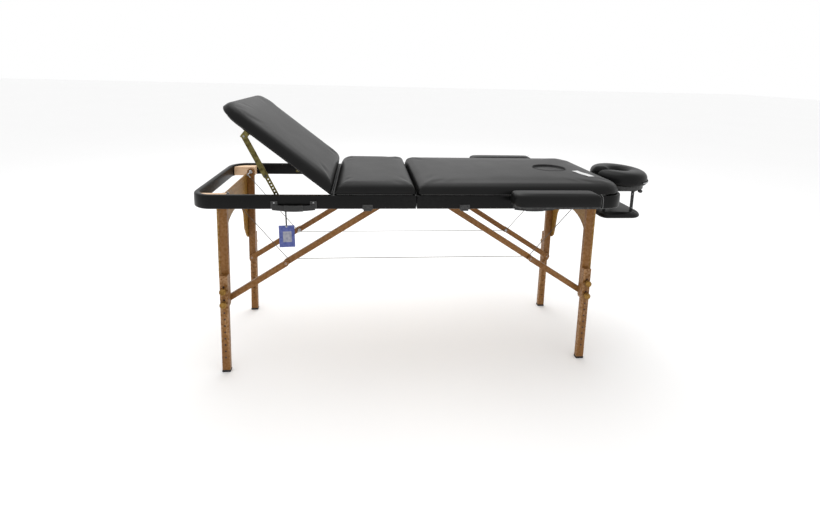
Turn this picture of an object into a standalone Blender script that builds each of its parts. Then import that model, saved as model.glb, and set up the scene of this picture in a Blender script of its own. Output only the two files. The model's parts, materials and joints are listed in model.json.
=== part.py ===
"""Portable three-section massage table: wooden folding legs, padded top, lifted backrest.

X runs along the table (foot end at -X, head end at +X), Y across it, Z up.
The feet stand on Z = 0. Everything is drawn with the centre fold at X = 0, and the last
step moves it so that X = 0 is the middle of the whole length. Metres throughout.
"""
import math

import bmesh
import bpy
from mathutils import Matrix, Vector

# ---- driving dimensions -------------------------------------------------------------
HALF_LENGTH = 0.930          # each half of the folding top
HALF_WIDTH = 0.300           # half of the table's width
FIT = 0.0003                 # clearance between pieces that touch
RAIL_BOTTOM = 0.762
RAIL_TOP = 0.820
RAIL_THICK = 0.022
CORNER_RADIUS = 0.085        # outside corner of the frame, in plan
DECK_THICK = 0.006
CUSHION_THICK = 0.048
CUSHION_EDGE = 0.022         # rounding along the top edge of a cushion
SEAT_LENGTH = 0.353
CENTRE_GAP = 0.002           # half of the gap between the two halves

# backrest
BACKREST_ANGLE = math.radians(38.0)
BACKREST_HINGE = Vector((-0.3585, 0.0, 0.8175))
END_SLANT = math.tan(math.radians(19.0))
STAY_ALONG = 0.425           # stay pivot, measured along the backrest
STAY_BELOW = 0.025           # and below its deck
STAY_FOOT = Vector((-0.572, 0.0, 0.790))
STAY_ARM_LENGTH = 0.185
STAY_BAR_LENGTH = 0.160

# legs and braces
LEG_X = 0.815                # leg pivot and leg centre line
LEG_PIVOT_Z = 0.790
LEG_WIDTH = 0.034
LEG_THICK = 0.020
UPRIGHT_BOTTOM = 0.290
LOWER_LEG_TOP = 0.450
HOLE_PITCH = 0.030
HOLE_LOWEST = 0.070
HOLE_COUNT = 12
BRACE_WIDTH = 0.026
BRACE_THICK = 0.014
BRACE_FOOT_Z = 0.320         # where a brace meets its leg
BRACE_HEAD = (0.085, 0.785)  # where a brace meets the frame, X and Z
KNOB_RADIUS = 0.015
KNOB_HEIGHTS = (0.385,)

# face cradle, hand shelf, armrests, handles
CRADLE_ROD_Z = 0.784
CRADLE_ROD_Y = 0.080
CRADLE_CENTRE_X = 1.064
CRADLE_RADII = (0.126, 0.142)
CRADLE_CUSHION = (0.812, 0.868)
SHELF_BOX = ((0.922, 1.142), (-0.135, 0.135), (0.655, 0.680))
FACE_HOLE = (0.700, 0.0, 0.082, 0.066)
ARMREST_X = (0.390, 0.750)
ARMREST_Y = (0.318, 0.408)
ARMREST_Z = (0.796, 0.855)
HANDLE_X = (0.415, 0.600)
CABLE_RADIUS = 0.0015
CABLE_Y = 0.160

# planes across the table: outer faces on the foot half, counted inward from the rail
LEG_OUTER = 0.254
UPRIGHT_OUTER = LEG_OUTER - LEG_THICK - FIT
LOWER_BRACE_OUTER = UPRIGHT_OUTER - LEG_THICK - FIT
UPPER_BRACE_OUTER = LOWER_BRACE_OUTER - BRACE_THICK - FIT
HEAD_STEP = LEG_THICK + FIT  # the head legs stand this much closer, to pass the foot legs
HINGE_Z = 0.758              # axis of the centre fold, just below the rails

CENTRE = Matrix.Identity(4)


# ---- building blocks ------------------------------------------------------------------
def clear_scene():
    for obj in list(bpy.data.objects):
        bpy.data.objects.remove(obj)


def make_material(name, color, roughness, metallic=0.0):
    material = bpy.data.materials.new(name)
    material.use_nodes = True
    shader = material.node_tree.nodes["Principled BSDF"]
    shader.inputs["Base Color"].default_value = (*color, 1.0)
    shader.inputs["Roughness"].default_value = roughness
    shader.inputs["Metallic"].default_value = metallic
    material.diffuse_color = (*color, 1.0)
    return material


def solid_from_rings(name, rings, material, place=CENTRE):
    """Skin a stack of equal point rings, close both ends, and face everything out."""
    mesh_data = bmesh.new()
    loops = [[mesh_data.verts.new(point) for point in ring] for ring in rings]
    for lower, upper in zip(loops, loops[1:]):
        count = len(lower)
        for i in range(count):
            j = (i + 1) % count
            mesh_data.faces.new((lower[i], lower[j], upper[j], upper[i]))
    mesh_data.faces.new(list(reversed(loops[0])))
    mesh_data.faces.new(loops[-1])
    bmesh.ops.recalc_face_normals(mesh_data, faces=mesh_data.faces)
    mesh = bpy.data.meshes.new(name)
    mesh_data.to_mesh(mesh)
    mesh_data.free()
    mesh.materials.append(material)
    obj = bpy.data.objects.new(name, mesh)
    obj.matrix_world = place
    bpy.context.collection.objects.link(obj)
    return obj


def prism(name, outline, axis, low, high, material, place=CENTRE):
    """Extrude a flat outline along X, Y or Z from low to high."""
    def point(a, b, level):
        return {"X": (level, a, b), "Y": (a, level, b), "Z": (a, b, level)}[axis]
    rings = [[point(a, b, level) for a, b in outline] for level in (low, high)]
    return solid_from_rings(name, rings, material, place)


def box(name, x, y, z, material, place=CENTRE):
    outline = [(x[0], y[0]), (x[1], y[0]), (x[1], y[1]), (x[0], y[1])]
    return prism(name, outline, "Z", z[0], z[1], material, place)


def arc(centre, radii, start, stop, steps):
    """Points on an elliptical arc, angles in degrees, both ends included."""
    points = []
    for i in range(steps + 1):
        angle = math.radians(start + (stop - start) * i / steps)
        points.append((centre[0] + radii[0] * math.cos(angle),
                       centre[1] + radii[1] * math.sin(angle)))
    return points


def rounded_outline(x, y, radii, steps=4):
    """A rectangle with its own radius at each corner: (-,-), (+,-), (+,+), (-,+)."""
    corners = ((x[0], y[0], 1, 1, 180), (x[1], y[0], -1, 1, 270),
               (x[1], y[1], -1, -1, 0), (x[0], y[1], 1, -1, 90))
    points = []
    for (cx, cy, sx, sy, start), radius in zip(corners, radii):
        centre = (cx + sx * radius, cy + sy * radius)
        points += arc(centre, (radius, radius), start, start + 90, steps)
    return points


def bar_outline(start, end, width, steps=5):
    """A flat bar between two pivots in the X-Z plane, with round ends."""
    along = Vector((end[0] - start[0], end[1] - start[1]))
    heading = math.degrees(math.atan2(along.y, along.x))
    radius = (width / 2, width / 2)
    return (arc(end, radius, heading - 90, heading + 90, steps)
            + arc(start, radius, heading + 90, heading + 270, steps))


def cut(target, cutter):
    cutter.hide_render = True
    cutter.display_type = "WIRE"
    modifier = target.modifiers.new("cut", "BOOLEAN")
    modifier.operation = "DIFFERENCE"
    modifier.solver = "EXACT"
    modifier.object = cutter


def oval_cutter(name, oval, low, high, steps=32):
    centre, radii = (oval[0], oval[1]), (oval[2], oval[3])
    outline = arc(centre, radii, 0, 360 - 360 / steps, steps - 1)
    return prism(name, outline, "Z", low, high, WOOD_PALE)


def hole_row_cutter(name, x, y_low, y_high, heights, radius, place=CENTRE):
    """A row of round cutters along Y, one object, used to drill a leg or a stay."""
    mesh_data = bmesh.new()
    for height in heights:
        ends = []
        for y in (y_low, y_high):
            ring = arc((x, height), (radius, radius), 0, 315, 7)
            ends.append([mesh_data.verts.new((a, y, b)) for a, b in ring])
        count = len(ends[0])
        for i in range(count):
            j = (i + 1) % count
            mesh_data.faces.new((ends[0][i], ends[0][j], ends[1][j], ends[1][i]))
        mesh_data.faces.new(list(reversed(ends[0])))
        mesh_data.faces.new(ends[1])
    bmesh.ops.recalc_face_normals(mesh_data, faces=mesh_data.faces)
    mesh = bpy.data.meshes.new(name)
    mesh_data.to_mesh(mesh)
    mesh_data.free()
    obj = bpy.data.objects.new(name, mesh)
    obj.matrix_world = place
    bpy.context.collection.objects.link(obj)
    return obj


def mirror_x(points, end):
    """Head-half outlines as drawn, foot-half ones mirrored in X."""
    return [(end * a, b) for a, b in points]


def plane(end, foot_plane):
    """A plane across the table, stepped inward on the head half."""
    return foot_plane - (HEAD_STEP if end > 0 else 0.0)


def span(end, low, high):
    """An X range on the head half (end = 1) or the foot half (end = -1)."""
    return (low, high) if end > 0 else (-high, -low)


def cushion_rings(x, y, low, high, radii, slant=None):
    """Rings of a padded block whose top edge is rounded and whose sides lean in below."""
    edge = CUSHION_EDGE
    levels = [(low, 0.004), (low + 0.010, 0.0), (high - edge, 0.0)]
    for degrees in (30, 60, 90):
        angle = math.radians(degrees)
        levels.append((high - edge * (1 - math.sin(angle)), edge * (1 - math.cos(angle))))
    rings = []
    for z, inset in levels:
        shift = [0.0, 0.0]
        if slant is not None:
            shift[slant] = (z - low) * END_SLANT
        outline = rounded_outline((x[0] + inset + shift[0], x[1] - inset - shift[1]),
                                  (y[0] + inset, y[1] - inset),
                                  [max(radius - inset, 0.004) for radius in radii])
        rings.append([(a, b, z) for a, b in outline])
    return rings


# ---- frame halves ---------------------------------------------------------------------
def frame_half(prefix, end):
    """Rails, rounded end rail, corner blocks and centre rail of one half."""
    straight_end = HALF_LENGTH - CORNER_RADIUS
    for side, sign in (("near", -1), ("far", 1)):
        inner = sign * (HALF_WIDTH - RAIL_THICK)
        y_span = tuple(sorted((sign * HALF_WIDTH, inner)))
        box(f"{prefix}_{side}_rail", span(end, CENTRE_GAP, straight_end - FIT), y_span,
            (RAIL_BOTTOM, RAIL_TOP), COVER)
        corner_block(prefix, side, sign, end)
    inner_width = HALF_WIDTH - RAIL_THICK
    inner_radius = CORNER_RADIUS - RAIL_THICK
    centre_x, centre_y = straight_end, HALF_WIDTH - CORNER_RADIUS
    outline = (arc((centre_x, -centre_y), (CORNER_RADIUS,) * 2, -90, 0, 6)
               + arc((centre_x, centre_y), (CORNER_RADIUS,) * 2, 0, 90, 6)
               + arc((centre_x, centre_y), (inner_radius,) * 2, 90, 0, 6)
               + arc((centre_x, -centre_y), (inner_radius,) * 2, 0, -90, 6))
    prism(f"{prefix}_end_rail", mirror_x(outline, end), "Z", RAIL_BOTTOM, RAIL_TOP, COVER)
    box(f"{prefix}_centre_rail", span(end, CENTRE_GAP, CENTRE_GAP + 0.020),
        (-inner_width + FIT, inner_width - FIT), (RAIL_BOTTOM, RAIL_TOP - DECK_THICK - FIT),
        COVER)


def corner_block(prefix, side, sign, end):
    """Pale wooden block in the frame's corner that carries the leg pivot."""
    outer = HALF_WIDTH - RAIL_THICK - FIT
    inner = plane(end, UPRIGHT_OUTER) + FIT
    radius = CORNER_RADIUS - RAIL_THICK - 0.0012
    corner = (HALF_LENGTH - CORNER_RADIUS, HALF_WIDTH - CORNER_RADIUS)
    outline = [(0.797, inner), (0.797, outer)]
    outline += arc(corner, (radius, radius), 90, 20, 4)
    outline += [(corner[0] + radius * math.cos(math.radians(20)), inner)]
    outline = [(end * x, sign * y) for x, y in outline]
    prism(f"{prefix}_{side}_block", outline, "Z", RAIL_BOTTOM + 0.004,
          RAIL_TOP - DECK_THICK - 0.003, WOOD_PALE)


def deck_outline(x, end):
    width = HALF_WIDTH - RAIL_THICK - 0.0006
    radius = CORNER_RADIUS - RAIL_THICK
    radii = (0.003, radius, radius, 0.003) if end > 0 else (radius, 0.003, 0.003, radius)
    return rounded_outline(x, (-width, width), radii)


def tops():
    """Fixed decks and cushions: the seat on the foot half, the long pad on the head half."""
    deck = (RAIL_TOP - DECK_THICK, RAIL_TOP)
    low, high = RAIL_TOP + 2 * FIT, RAIL_TOP + 2 * FIT + CUSHION_THICK
    width = HALF_WIDTH - RAIL_THICK - 0.0006
    box("seat_deck", (-SEAT_LENGTH, -CENTRE_GAP), (-width, width), deck, PLYWOOD)
    seat = cushion_rings((-SEAT_LENGTH, -CENTRE_GAP), (-HALF_WIDTH, HALF_WIDTH),
                         low, high, (0.012,) * 4, slant=0)
    solid_from_rings("seat_cushion", seat, COVER)

    inner_end = HALF_LENGTH - RAIL_THICK - 0.0006
    head_deck = prism("head_deck", deck_outline((CENTRE_GAP, inner_end), 1), "Z",
                      deck[0], deck[1], PLYWOOD)
    ledge = (FACE_HOLE[0], FACE_HOLE[1], FACE_HOLE[2] - 0.012, FACE_HOLE[3] - 0.012)
    cut(head_deck, oval_cutter("deck_hole_cutter", ledge, 0.79, 0.84))
    pad = cushion_rings((CENTRE_GAP, HALF_LENGTH), (-HALF_WIDTH, HALF_WIDTH), low, high,
                        (0.012, 0.100, 0.100, 0.012))
    head_cushion = solid_from_rings("head_cushion", pad, COVER)
    cut(head_cushion, oval_cutter("face_hole_cutter", FACE_HOLE, 0.80, 0.90))
    plug_oval = (FACE_HOLE[0], FACE_HOLE[1], FACE_HOLE[2] - 0.0015, FACE_HOLE[3] - 0.0015)
    rings = []
    for z, inset in ((low, 0.001), (low + 0.004, 0.0), (high - 0.008, 0.0), (high - 0.001, 0.006)):
        rings.append([(a, b, z) for a, b in
                      arc((plug_oval[0], plug_oval[1]),
                          (plug_oval[2] - inset, plug_oval[3] - inset), 0, 348.75, 31)])
    solid_from_rings("face_plug", rings, COVER)


def backrest():
    """Deck and cushion drawn flat, then turned up about the hinge, with both stays."""
    hinge = bpy.data.objects.new("backrest_hinge", None)
    bpy.context.collection.objects.link(hinge)
    raised = Matrix.Translation(BACKREST_HINGE) @ Matrix.Rotation(BACKREST_ANGLE, 4, "Y")
    hinge.matrix_world = raised
    length = HALF_LENGTH + BACKREST_HINGE.x
    deck_end = length - RAIL_THICK - 0.006
    half = DECK_THICK / 2
    deck = prism("backrest_deck", deck_outline((-deck_end, -0.004), -1), "Z",
                 -half, half - FIT, PLYWOOD)
    low = RAIL_TOP + 2 * FIT - BACKREST_HINGE.z
    rings = cushion_rings((-length, -0.004), (-HALF_WIDTH, HALF_WIDTH), low,
                          low + CUSHION_THICK, (0.085, 0.012, 0.012, 0.085), slant=1)
    cushion = solid_from_rings("backrest_cushion", rings, COVER)
    for piece in (deck, cushion):
        piece.parent = hinge
    pin_radius = 0.0022
    pin = arc((BACKREST_HINGE.x, BACKREST_HINGE.z), (pin_radius, pin_radius), 0, 330, 11)
    prism("backrest_hinge_pin", pin, "Y", -0.240, 0.240, STEEL)
    stays(raised)


def stays(raised):
    """Two-part perforated stays between the backrest and the side rails."""
    top = raised @ Vector((-STAY_ALONG, 0.0, -STAY_BELOW))
    toward_top = (top - STAY_FOOT).normalized()
    arm_end = top - toward_top * STAY_ARM_LENGTH
    bar_end = STAY_FOOT + toward_top * STAY_BAR_LENGTH
    arm = bar_outline((top.x, top.z), (arm_end.x, arm_end.z), 0.022)
    bar = bar_outline((STAY_FOOT.x, STAY_FOOT.z), (bar_end.x, bar_end.z), 0.018)
    for side, sign in (("near", -1), ("far", 1)):
        arm_y = sorted((sign * 0.2735, sign * 0.2675))
        bar_y = sorted((sign * 0.2672, sign * 0.2622))
        prism(f"{side}_stay_arm", arm, "Y", arm_y[0], arm_y[1], ZINC)
        stay_bar = prism(f"{side}_stay_bar", bar, "Y", bar_y[0], bar_y[1], ZINC)
        tilt = math.atan2(toward_top.x, toward_top.z)
        place = Matrix.Translation(STAY_FOOT) @ Matrix.Rotation(tilt, 4, "Y")
        heights = [0.030 + 0.014 * i for i in range(7)]
        cutter = hole_row_cutter(f"{side}_stay_holes", 0.0, bar_y[0] - 0.01, bar_y[1] + 0.01,
                                 heights, 0.0032, place)
        cut(stay_bar, cutter)


# ---- legs and braces --------------------------------------------------------------------
def leg_end(prefix, end):
    """Uprights, arched board, telescoping lower legs and upper knobs of one end."""
    leg_x = end * LEG_X
    half = LEG_WIDTH / 2
    upright_outer, leg_outer = plane(end, UPRIGHT_OUTER), plane(end, LEG_OUTER)
    upright = bar_outline((leg_x, LEG_PIVOT_Z), (leg_x, UPRIGHT_BOTTOM + half), LEG_WIDTH, 6)
    for side, sign in (("near", -1), ("far", 1)):
        y_span = sorted((sign * upright_outer, sign * (upright_outer - LEG_THICK)))
        prism(f"{prefix}_{side}_upright", upright, "Y", y_span[0], y_span[1], WOOD)
        y_span = sorted((sign * leg_outer, sign * (leg_outer - LEG_THICK)))
        leg = box(f"{prefix}_{side}_lower_leg", (leg_x - half, leg_x + half), y_span,
                  (0.0, LOWER_LEG_TOP), WOOD)
        heights = [HOLE_LOWEST + HOLE_PITCH * i for i in range(HOLE_COUNT)]
        cut(leg, hole_row_cutter(f"{prefix}_{side}_holes", leg_x, y_span[0] - 0.01,
                                 y_span[1] + 0.01, heights, 0.0035))
        for height in KNOB_HEIGHTS:
            knob(f"{prefix}_{side}_knob", leg_x, sign * (leg_outer + FIT), height)
    arch_board(prefix, end)


def knob(name, x, face, height):
    """Round brass knob standing on the outside face of the lower leg."""
    sign = math.copysign(1, face)
    rings = []
    for reach, radius in ((0.0, 0.009), (0.006, 0.009), (0.009, KNOB_RADIUS),
                          (0.020, KNOB_RADIUS), (0.023, KNOB_RADIUS - 0.003)):
        ring = arc((x, height), (radius, radius), 0, 330, 11)
        rings.append([(a, face + sign * reach, b) for a, b in ring])
    solid_from_rings(name, rings, BRASS)


def arch_board(prefix, end):
    """Arched plywood screwed over the outer faces of the two uprights."""
    bottom, shoulder, crown, top = 0.432, 0.560, 0.664, 0.780
    edge = plane(end, UPRIGHT_OUTER)
    inner = edge - LEG_THICK
    half_opening = 0.152
    outline = [(-edge, bottom), (-edge, top), (edge, top), (edge, bottom), (inner, bottom),
               (inner - 0.022, 0.452), (half_opening + 0.008, 0.500)]
    outline += arc((0.0, shoulder), (half_opening, crown - shoulder), 0, 180, 14)
    outline += [(-half_opening - 0.008, 0.500), (-inner + 0.022, 0.452), (-inner, bottom)]
    outer_face = LEG_X + LEG_WIDTH / 2
    x_span = span(end, outer_face + FIT, outer_face + FIT + 0.008)
    prism(f"{prefix}_arch_board", outline, "X", x_span[0], x_span[1], WOOD_BOARD)


def braces(prefix, end):
    """Two-part braces: straight when the legs stand, folded back when they lie flat."""
    foot = Vector((LEG_X, BRACE_FOOT_Z))
    head = Vector(BRACE_HEAD)
    straight = (foot - head).length
    folded_foot = Vector((LEG_X - (LEG_PIVOT_Z - BRACE_FOOT_Z), LEG_PIVOT_Z))
    upper_length = (straight + (folded_foot - head).length) / 2
    knuckle = head + (foot - head).normalized() * upper_length
    for side, sign in (("near", -1), ("far", 1)):
        for part, ends, foot_plane in (("lower", (foot, knuckle), LOWER_BRACE_OUTER),
                                       ("upper", (knuckle, head), UPPER_BRACE_OUTER)):
            outer = plane(end, foot_plane)
            pins = [(end * pin.x, pin.y) for pin in ends]
            y_span = sorted((sign * outer, sign * (outer - BRACE_THICK)))
            prism(f"{prefix}_{side}_{part}_brace", bar_outline(pins[0], pins[1], BRACE_WIDTH),
                  "Y", y_span[0], y_span[1], WOOD)
    return knuckle


def cables(knuckle):
    """One steel cable a side: leg pivot, knuckle, across to the other knuckle, leg pivot."""
    corner = Vector((LEG_X, LEG_PIVOT_Z))
    half_route = [corner, knuckle, Vector((0.28, knuckle.y))]
    points = [(-p.x, p.y) for p in half_route] + [(p.x, p.y) for p in reversed(half_route)]
    for side, sign in (("near", -1), ("far", 1)):
        curve = bpy.data.curves.new(f"{side}_cable", "CURVE")
        curve.dimensions = "3D"
        curve.bevel_depth = CABLE_RADIUS
        curve.bevel_resolution = 1
        curve.use_fill_caps = True
        spline = curve.splines.new("POLY")
        spline.points.add(len(points) - 1)
        for node, (x, z) in zip(spline.points, points):
            node.co = (x, sign * CABLE_Y, z, 1.0)
        curve.materials.append(STEEL)
        obj = bpy.data.objects.new(f"{side}_cable", curve)
        bpy.context.collection.objects.link(obj)


def centre_hinge():
    """Long hinge under the centre fold: a leaf on each half and the pin between them."""
    reach, half_length, knuckles = 0.020, 0.200, 5
    pin_radius, barrel_radius = 0.0022, 0.0040
    pitch = 2 * half_length / knuckles
    pin = arc((0.0, HINGE_Z), (pin_radius,) * 2, 0, 330, 11)
    prism("centre_hinge_pin", pin, "Y", -half_length, half_length, STEEL)
    for name, end, taken in (("foot", -1, (0, 2, 4)), ("head", 1, (1, 3))):
        plate_x = span(end, barrel_radius + 0.0006, reach)
        leaf = box(f"{name}_hinge_leaf", plate_x, (-half_length, half_length),
                   (RAIL_BOTTOM - 0.0018, RAIL_BOTTOM - FIT), STEEL)
        for index in taken:
            low = -half_length + pitch * index + FIT
            barrel = arc((0.0, HINGE_Z), (barrel_radius,) * 2, 0, 330, 11)
            tube = prism(f"{name}_barrel_{index}", barrel, "Y", low, low + pitch - 2 * FIT, STEEL)
            tongue = box(f"{name}_tongue_{index}", span(end, 0.0010, barrel_radius + 0.002),
                         (low, low + pitch - 2 * FIT), (RAIL_BOTTOM - 0.0018, RAIL_BOTTOM - FIT),
                         STEEL)
            for addition in (tube, tongue):
                addition.hide_render = True
                addition.display_type = "WIRE"
                join = leaf.modifiers.new("barrel", "BOOLEAN")
                join.operation = "UNION"
                join.solver = "EXACT"
                join.object = addition
        bore = arc((0.0, HINGE_Z), (pin_radius + 0.0005,) * 2, 0, 330, 11)
        cut(leaf, prism(f"{name}_bore", bore, "Y", -0.21, 0.21, STEEL))


# ---- removable pieces ---------------------------------------------------------------------
def cradle():
    """Rods that plug into the head end, tilting ring platform and its cushion."""
    rod = 0.008
    tip_x, socket_x = 1.135, HALF_LENGTH + FIT
    outline = [(socket_x, -CRADLE_ROD_Y - rod)]
    outline += arc((tip_x - 0.03, -CRADLE_ROD_Y + 0.022), (0.03, 0.03), -90, 0, 4)
    outline += arc((tip_x - 0.03, CRADLE_ROD_Y - 0.022), (0.03, 0.03), 0, 90, 4)
    outline += [(socket_x, CRADLE_ROD_Y + rod), (socket_x, CRADLE_ROD_Y - rod)]
    outline += arc((tip_x - 0.03, CRADLE_ROD_Y - 0.022), (0.014, 0.014), 90, 0, 4)
    outline += arc((tip_x - 0.03, -CRADLE_ROD_Y + 0.022), (0.014, 0.014), 0, -90, 4)
    outline += [(socket_x, -CRADLE_ROD_Y + rod)]
    prism("cradle_rods", outline, "Z", CRADLE_ROD_Z - rod, CRADLE_ROD_Z + rod, BLACK_STEEL)
    platform_z = (CRADLE_ROD_Z + rod + 0.001, CRADLE_CUSHION[0] - 0.0006)
    platform = [(x, y) for x, y in cradle_outline(0.016)]
    prism("cradle_platform", platform, "Z", platform_z[0], platform_z[1], BLACK_PLASTIC)
    rings = []
    low, high = CRADLE_CUSHION
    for z, inset in ((low, 0.004), (low + 0.012, 0.0), (high - 0.020, 0.0),
                     (high - 0.008, 0.004), (high, 0.016)):
        rings.append([(x, y, z) for x, y in cradle_outline(inset)])
    solid_from_rings("cradle_cushion", rings, COVER)


def cradle_lock():
    """Round knob at the outer end of the cradle rods, on the near side."""
    x, reach = 1.122, -CRADLE_ROD_Y - 0.008 - FIT
    rings = []
    for out, radius in ((0.0, 0.005), (0.005, 0.005), (0.007, 0.0085), (0.018, 0.0085),
                        (0.020, 0.007)):
        ring = arc((x, CRADLE_ROD_Z), (radius, radius), 0, 330, 11)
        rings.append([(a, reach - out, b) for a, b in ring])
    solid_from_rings("cradle_lock_knob", rings, BLACK_PLASTIC)


def cradle_outline(inset):
    """Horseshoe in plan, open toward the table, drawn inset from its outer and inner edge."""
    centre = (CRADLE_CENTRE_X, 0.0)
    outer = (CRADLE_RADII[0] - inset, CRADLE_RADII[1] - inset)
    inner = (0.046 + inset * 0.6, 0.042 + inset * 0.6)
    mouth = 0.034 + inset * 0.6
    start = math.degrees(math.asin(mouth / outer[1]))
    start_inner = math.degrees(math.asin(min(mouth / inner[1], 0.98)))
    return (arc(centre, outer, 180 + start, 540 - start, 28)
            + arc(centre, inner, 540 - start_inner, 180 + start_inner, 14))


def shelf():
    """Padded rest for hands and forearms below the cradle."""
    x, y, z = SHELF_BOX
    rings = []
    for level, inset in ((z[0], 0.008), (z[0] + 0.008, 0.0), (z[1] - 0.008, 0.0), (z[1], 0.008)):
        outline = rounded_outline((x[0] + inset, x[1] - inset), (y[0] + inset, y[1] - inset),
                                  (0.03, 0.06, 0.06, 0.03))
        rings.append([(a, b, level) for a, b in outline])
    solid_from_rings("hand_shelf", rings, COVER)


def armrests():
    """Padded boards beside the head half, rounded toward the centre, square at the head."""
    for side, sign in (("near", -1), ("far", 1)):
        rings = []
        z = ARMREST_Z
        for level, inset in ((z[0], 0.003), (z[0] + 0.006, 0.0), (z[1] - 0.012, 0.0),
                             (z[1] - 0.004, 0.004), (z[1], 0.012)):
            outline = rounded_outline((ARMREST_X[0] + inset, ARMREST_X[1] - inset),
                                      (ARMREST_Y[0] + inset, ARMREST_Y[1] - inset),
                                      (0.016, 0.010, 0.012, 0.034))
            rings.append([(a, sign * b, level) for a, b in outline])
        solid_from_rings(f"{side}_armrest", rings, COVER)


def handles():
    """Carrying straps on the near rails: two lugs and a flat grip that stands off the rail."""
    face = HALF_WIDTH + 0.0006
    for prefix, end in (("foot", -1), ("head", 1)):
        low, high = span(end, *HANDLE_X)
        back, front = -face, -face - 0.0125
        grip_back = -face - 0.0085
        outline = [(low, back), (low, front + 0.004), (low + 0.010, front), (high - 0.010, front),
                   (high, front + 0.004), (high, back), (high - 0.022, back),
                   (high - 0.030, grip_back), (low + 0.030, grip_back), (low + 0.022, back)]
        prism(f"{prefix}_handle", outline, "Z", 0.7575, 0.7825, WEBBING)


def move_origin():
    """Put X = 0 midway between the foot end of the frame and the tip of the cradle."""
    low, high = -HALF_LENGTH, CRADLE_CENTRE_X + CRADLE_RADII[0]
    for obj in bpy.data.objects:
        if obj.parent is None:
            obj.location.x -= (low + high) / 2


# ---- assembly ---------------------------------------------------------------------------
clear_scene()
COVER = make_material("black_cover", (0.045, 0.045, 0.048), 0.45)
WOOD = make_material("beech", (0.42, 0.21, 0.09), 0.45)
WOOD_PALE = make_material("pale_beech", (0.80, 0.58, 0.36), 0.55)
WOOD_BOARD = make_material("plywood_board", (0.35, 0.19, 0.05), 0.5)
PLYWOOD = make_material("plywood", (0.60, 0.42, 0.25), 0.6)
STEEL = make_material("steel", (0.55, 0.55, 0.55), 0.35, 1.0)
ZINC = make_material("zinc_steel", (0.35, 0.30, 0.14), 0.4, 1.0)
BRASS = make_material("brass", (0.60, 0.42, 0.14), 0.35, 1.0)
BLACK_STEEL = make_material("black_steel", (0.03, 0.03, 0.03), 0.4, 0.0)
BLACK_PLASTIC = make_material("black_plastic", (0.03, 0.03, 0.03), 0.5)
WEBBING = make_material("webbing", (0.02, 0.02, 0.02), 0.8)

frame_half("foot", -1)
frame_half("head", 1)
tops()
backrest()
leg_end("foot", -1)
leg_end("head", 1)
braces("foot", -1)
cables(braces("head", 1))
centre_hinge()
cradle()
cradle_lock()
shelf()
armrests()
handles()
move_origin()
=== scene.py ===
"""Looks of the portable massage table: covers, wood, fittings, trim, light and camera.

X runs along the table (foot end at -X), Y across it (near side at -Y), Z up, in metres.
Distances along the table are given from the centre fold and placed by at().
"""
import json
import math

import bmesh
import bpy
from mathutils import Matrix, Vector
from mathutils.bvhtree import BVHTree


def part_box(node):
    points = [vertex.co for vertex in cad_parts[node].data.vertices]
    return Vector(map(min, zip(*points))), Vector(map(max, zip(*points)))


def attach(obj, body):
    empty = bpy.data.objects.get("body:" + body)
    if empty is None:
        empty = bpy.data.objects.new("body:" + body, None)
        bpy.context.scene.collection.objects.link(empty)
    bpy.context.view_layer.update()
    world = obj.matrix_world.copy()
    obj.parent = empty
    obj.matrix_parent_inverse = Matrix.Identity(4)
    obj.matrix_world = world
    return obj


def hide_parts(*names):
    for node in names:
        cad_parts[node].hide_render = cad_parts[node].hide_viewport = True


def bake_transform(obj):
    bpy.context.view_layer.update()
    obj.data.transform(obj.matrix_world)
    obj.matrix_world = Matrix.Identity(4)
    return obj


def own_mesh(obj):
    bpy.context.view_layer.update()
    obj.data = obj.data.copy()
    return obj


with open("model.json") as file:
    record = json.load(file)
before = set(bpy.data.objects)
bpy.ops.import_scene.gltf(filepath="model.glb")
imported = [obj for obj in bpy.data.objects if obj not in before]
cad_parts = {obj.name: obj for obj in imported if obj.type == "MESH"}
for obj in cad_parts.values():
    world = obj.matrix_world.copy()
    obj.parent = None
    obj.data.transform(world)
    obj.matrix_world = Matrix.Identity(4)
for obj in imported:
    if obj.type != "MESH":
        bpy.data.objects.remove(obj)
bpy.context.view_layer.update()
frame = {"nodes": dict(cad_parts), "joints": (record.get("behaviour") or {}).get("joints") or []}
NODES = frame["nodes"]


# ---- places read from the frame ----------------------------------------------------------
def middle(node):
    low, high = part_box(node)
    return (low + high) / 2


FOLD = middle("centre_hinge_pin").x
RAIL_LOW, RAIL_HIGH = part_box("foot_end_rail")
RAIL_BOTTOM, RAIL_TOP = RAIL_LOW.z, RAIL_HIGH.z
RAIL_THICK = 0.022
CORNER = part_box("foot_end_rail")[1].x - RAIL_LOW.x
HALF_LENGTH = FOLD - RAIL_LOW.x
HALF_WIDTH = RAIL_HIGH.y
CENTRE_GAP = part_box("head_near_rail")[0].x - FOLD
LEG_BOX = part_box("foot_near_lower_leg")
LEG_WIDTH = LEG_BOX[1].x - LEG_BOX[0].x
HINGE = middle("backrest_hinge_pin")
CUSHION_LOW, CUSHION_HIGH = (v.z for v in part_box("seat_cushion"))
ENDS = (("foot", -1), ("head", 1))
SIDES = (("near", -1), ("far", 1))
BACKREST_ANGLE = math.radians(
    next(j for j in frame["joints"] if j["name"] == "backrest_tilt")["range_deg"][1])
RAISED = Matrix.Translation(HINGE) @ Matrix.Rotation(BACKREST_ANGLE, 4, "Y")


def at(x, y, z):
    """A place given by its distance from the centre fold."""
    return Vector((FOLD + x, y, z))


def faces_across(node, sign):
    """Inner and outer face of a piece, across the table."""
    low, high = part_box(node)
    return (high.y, low.y) if sign < 0 else (low.y, high.y)


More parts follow.
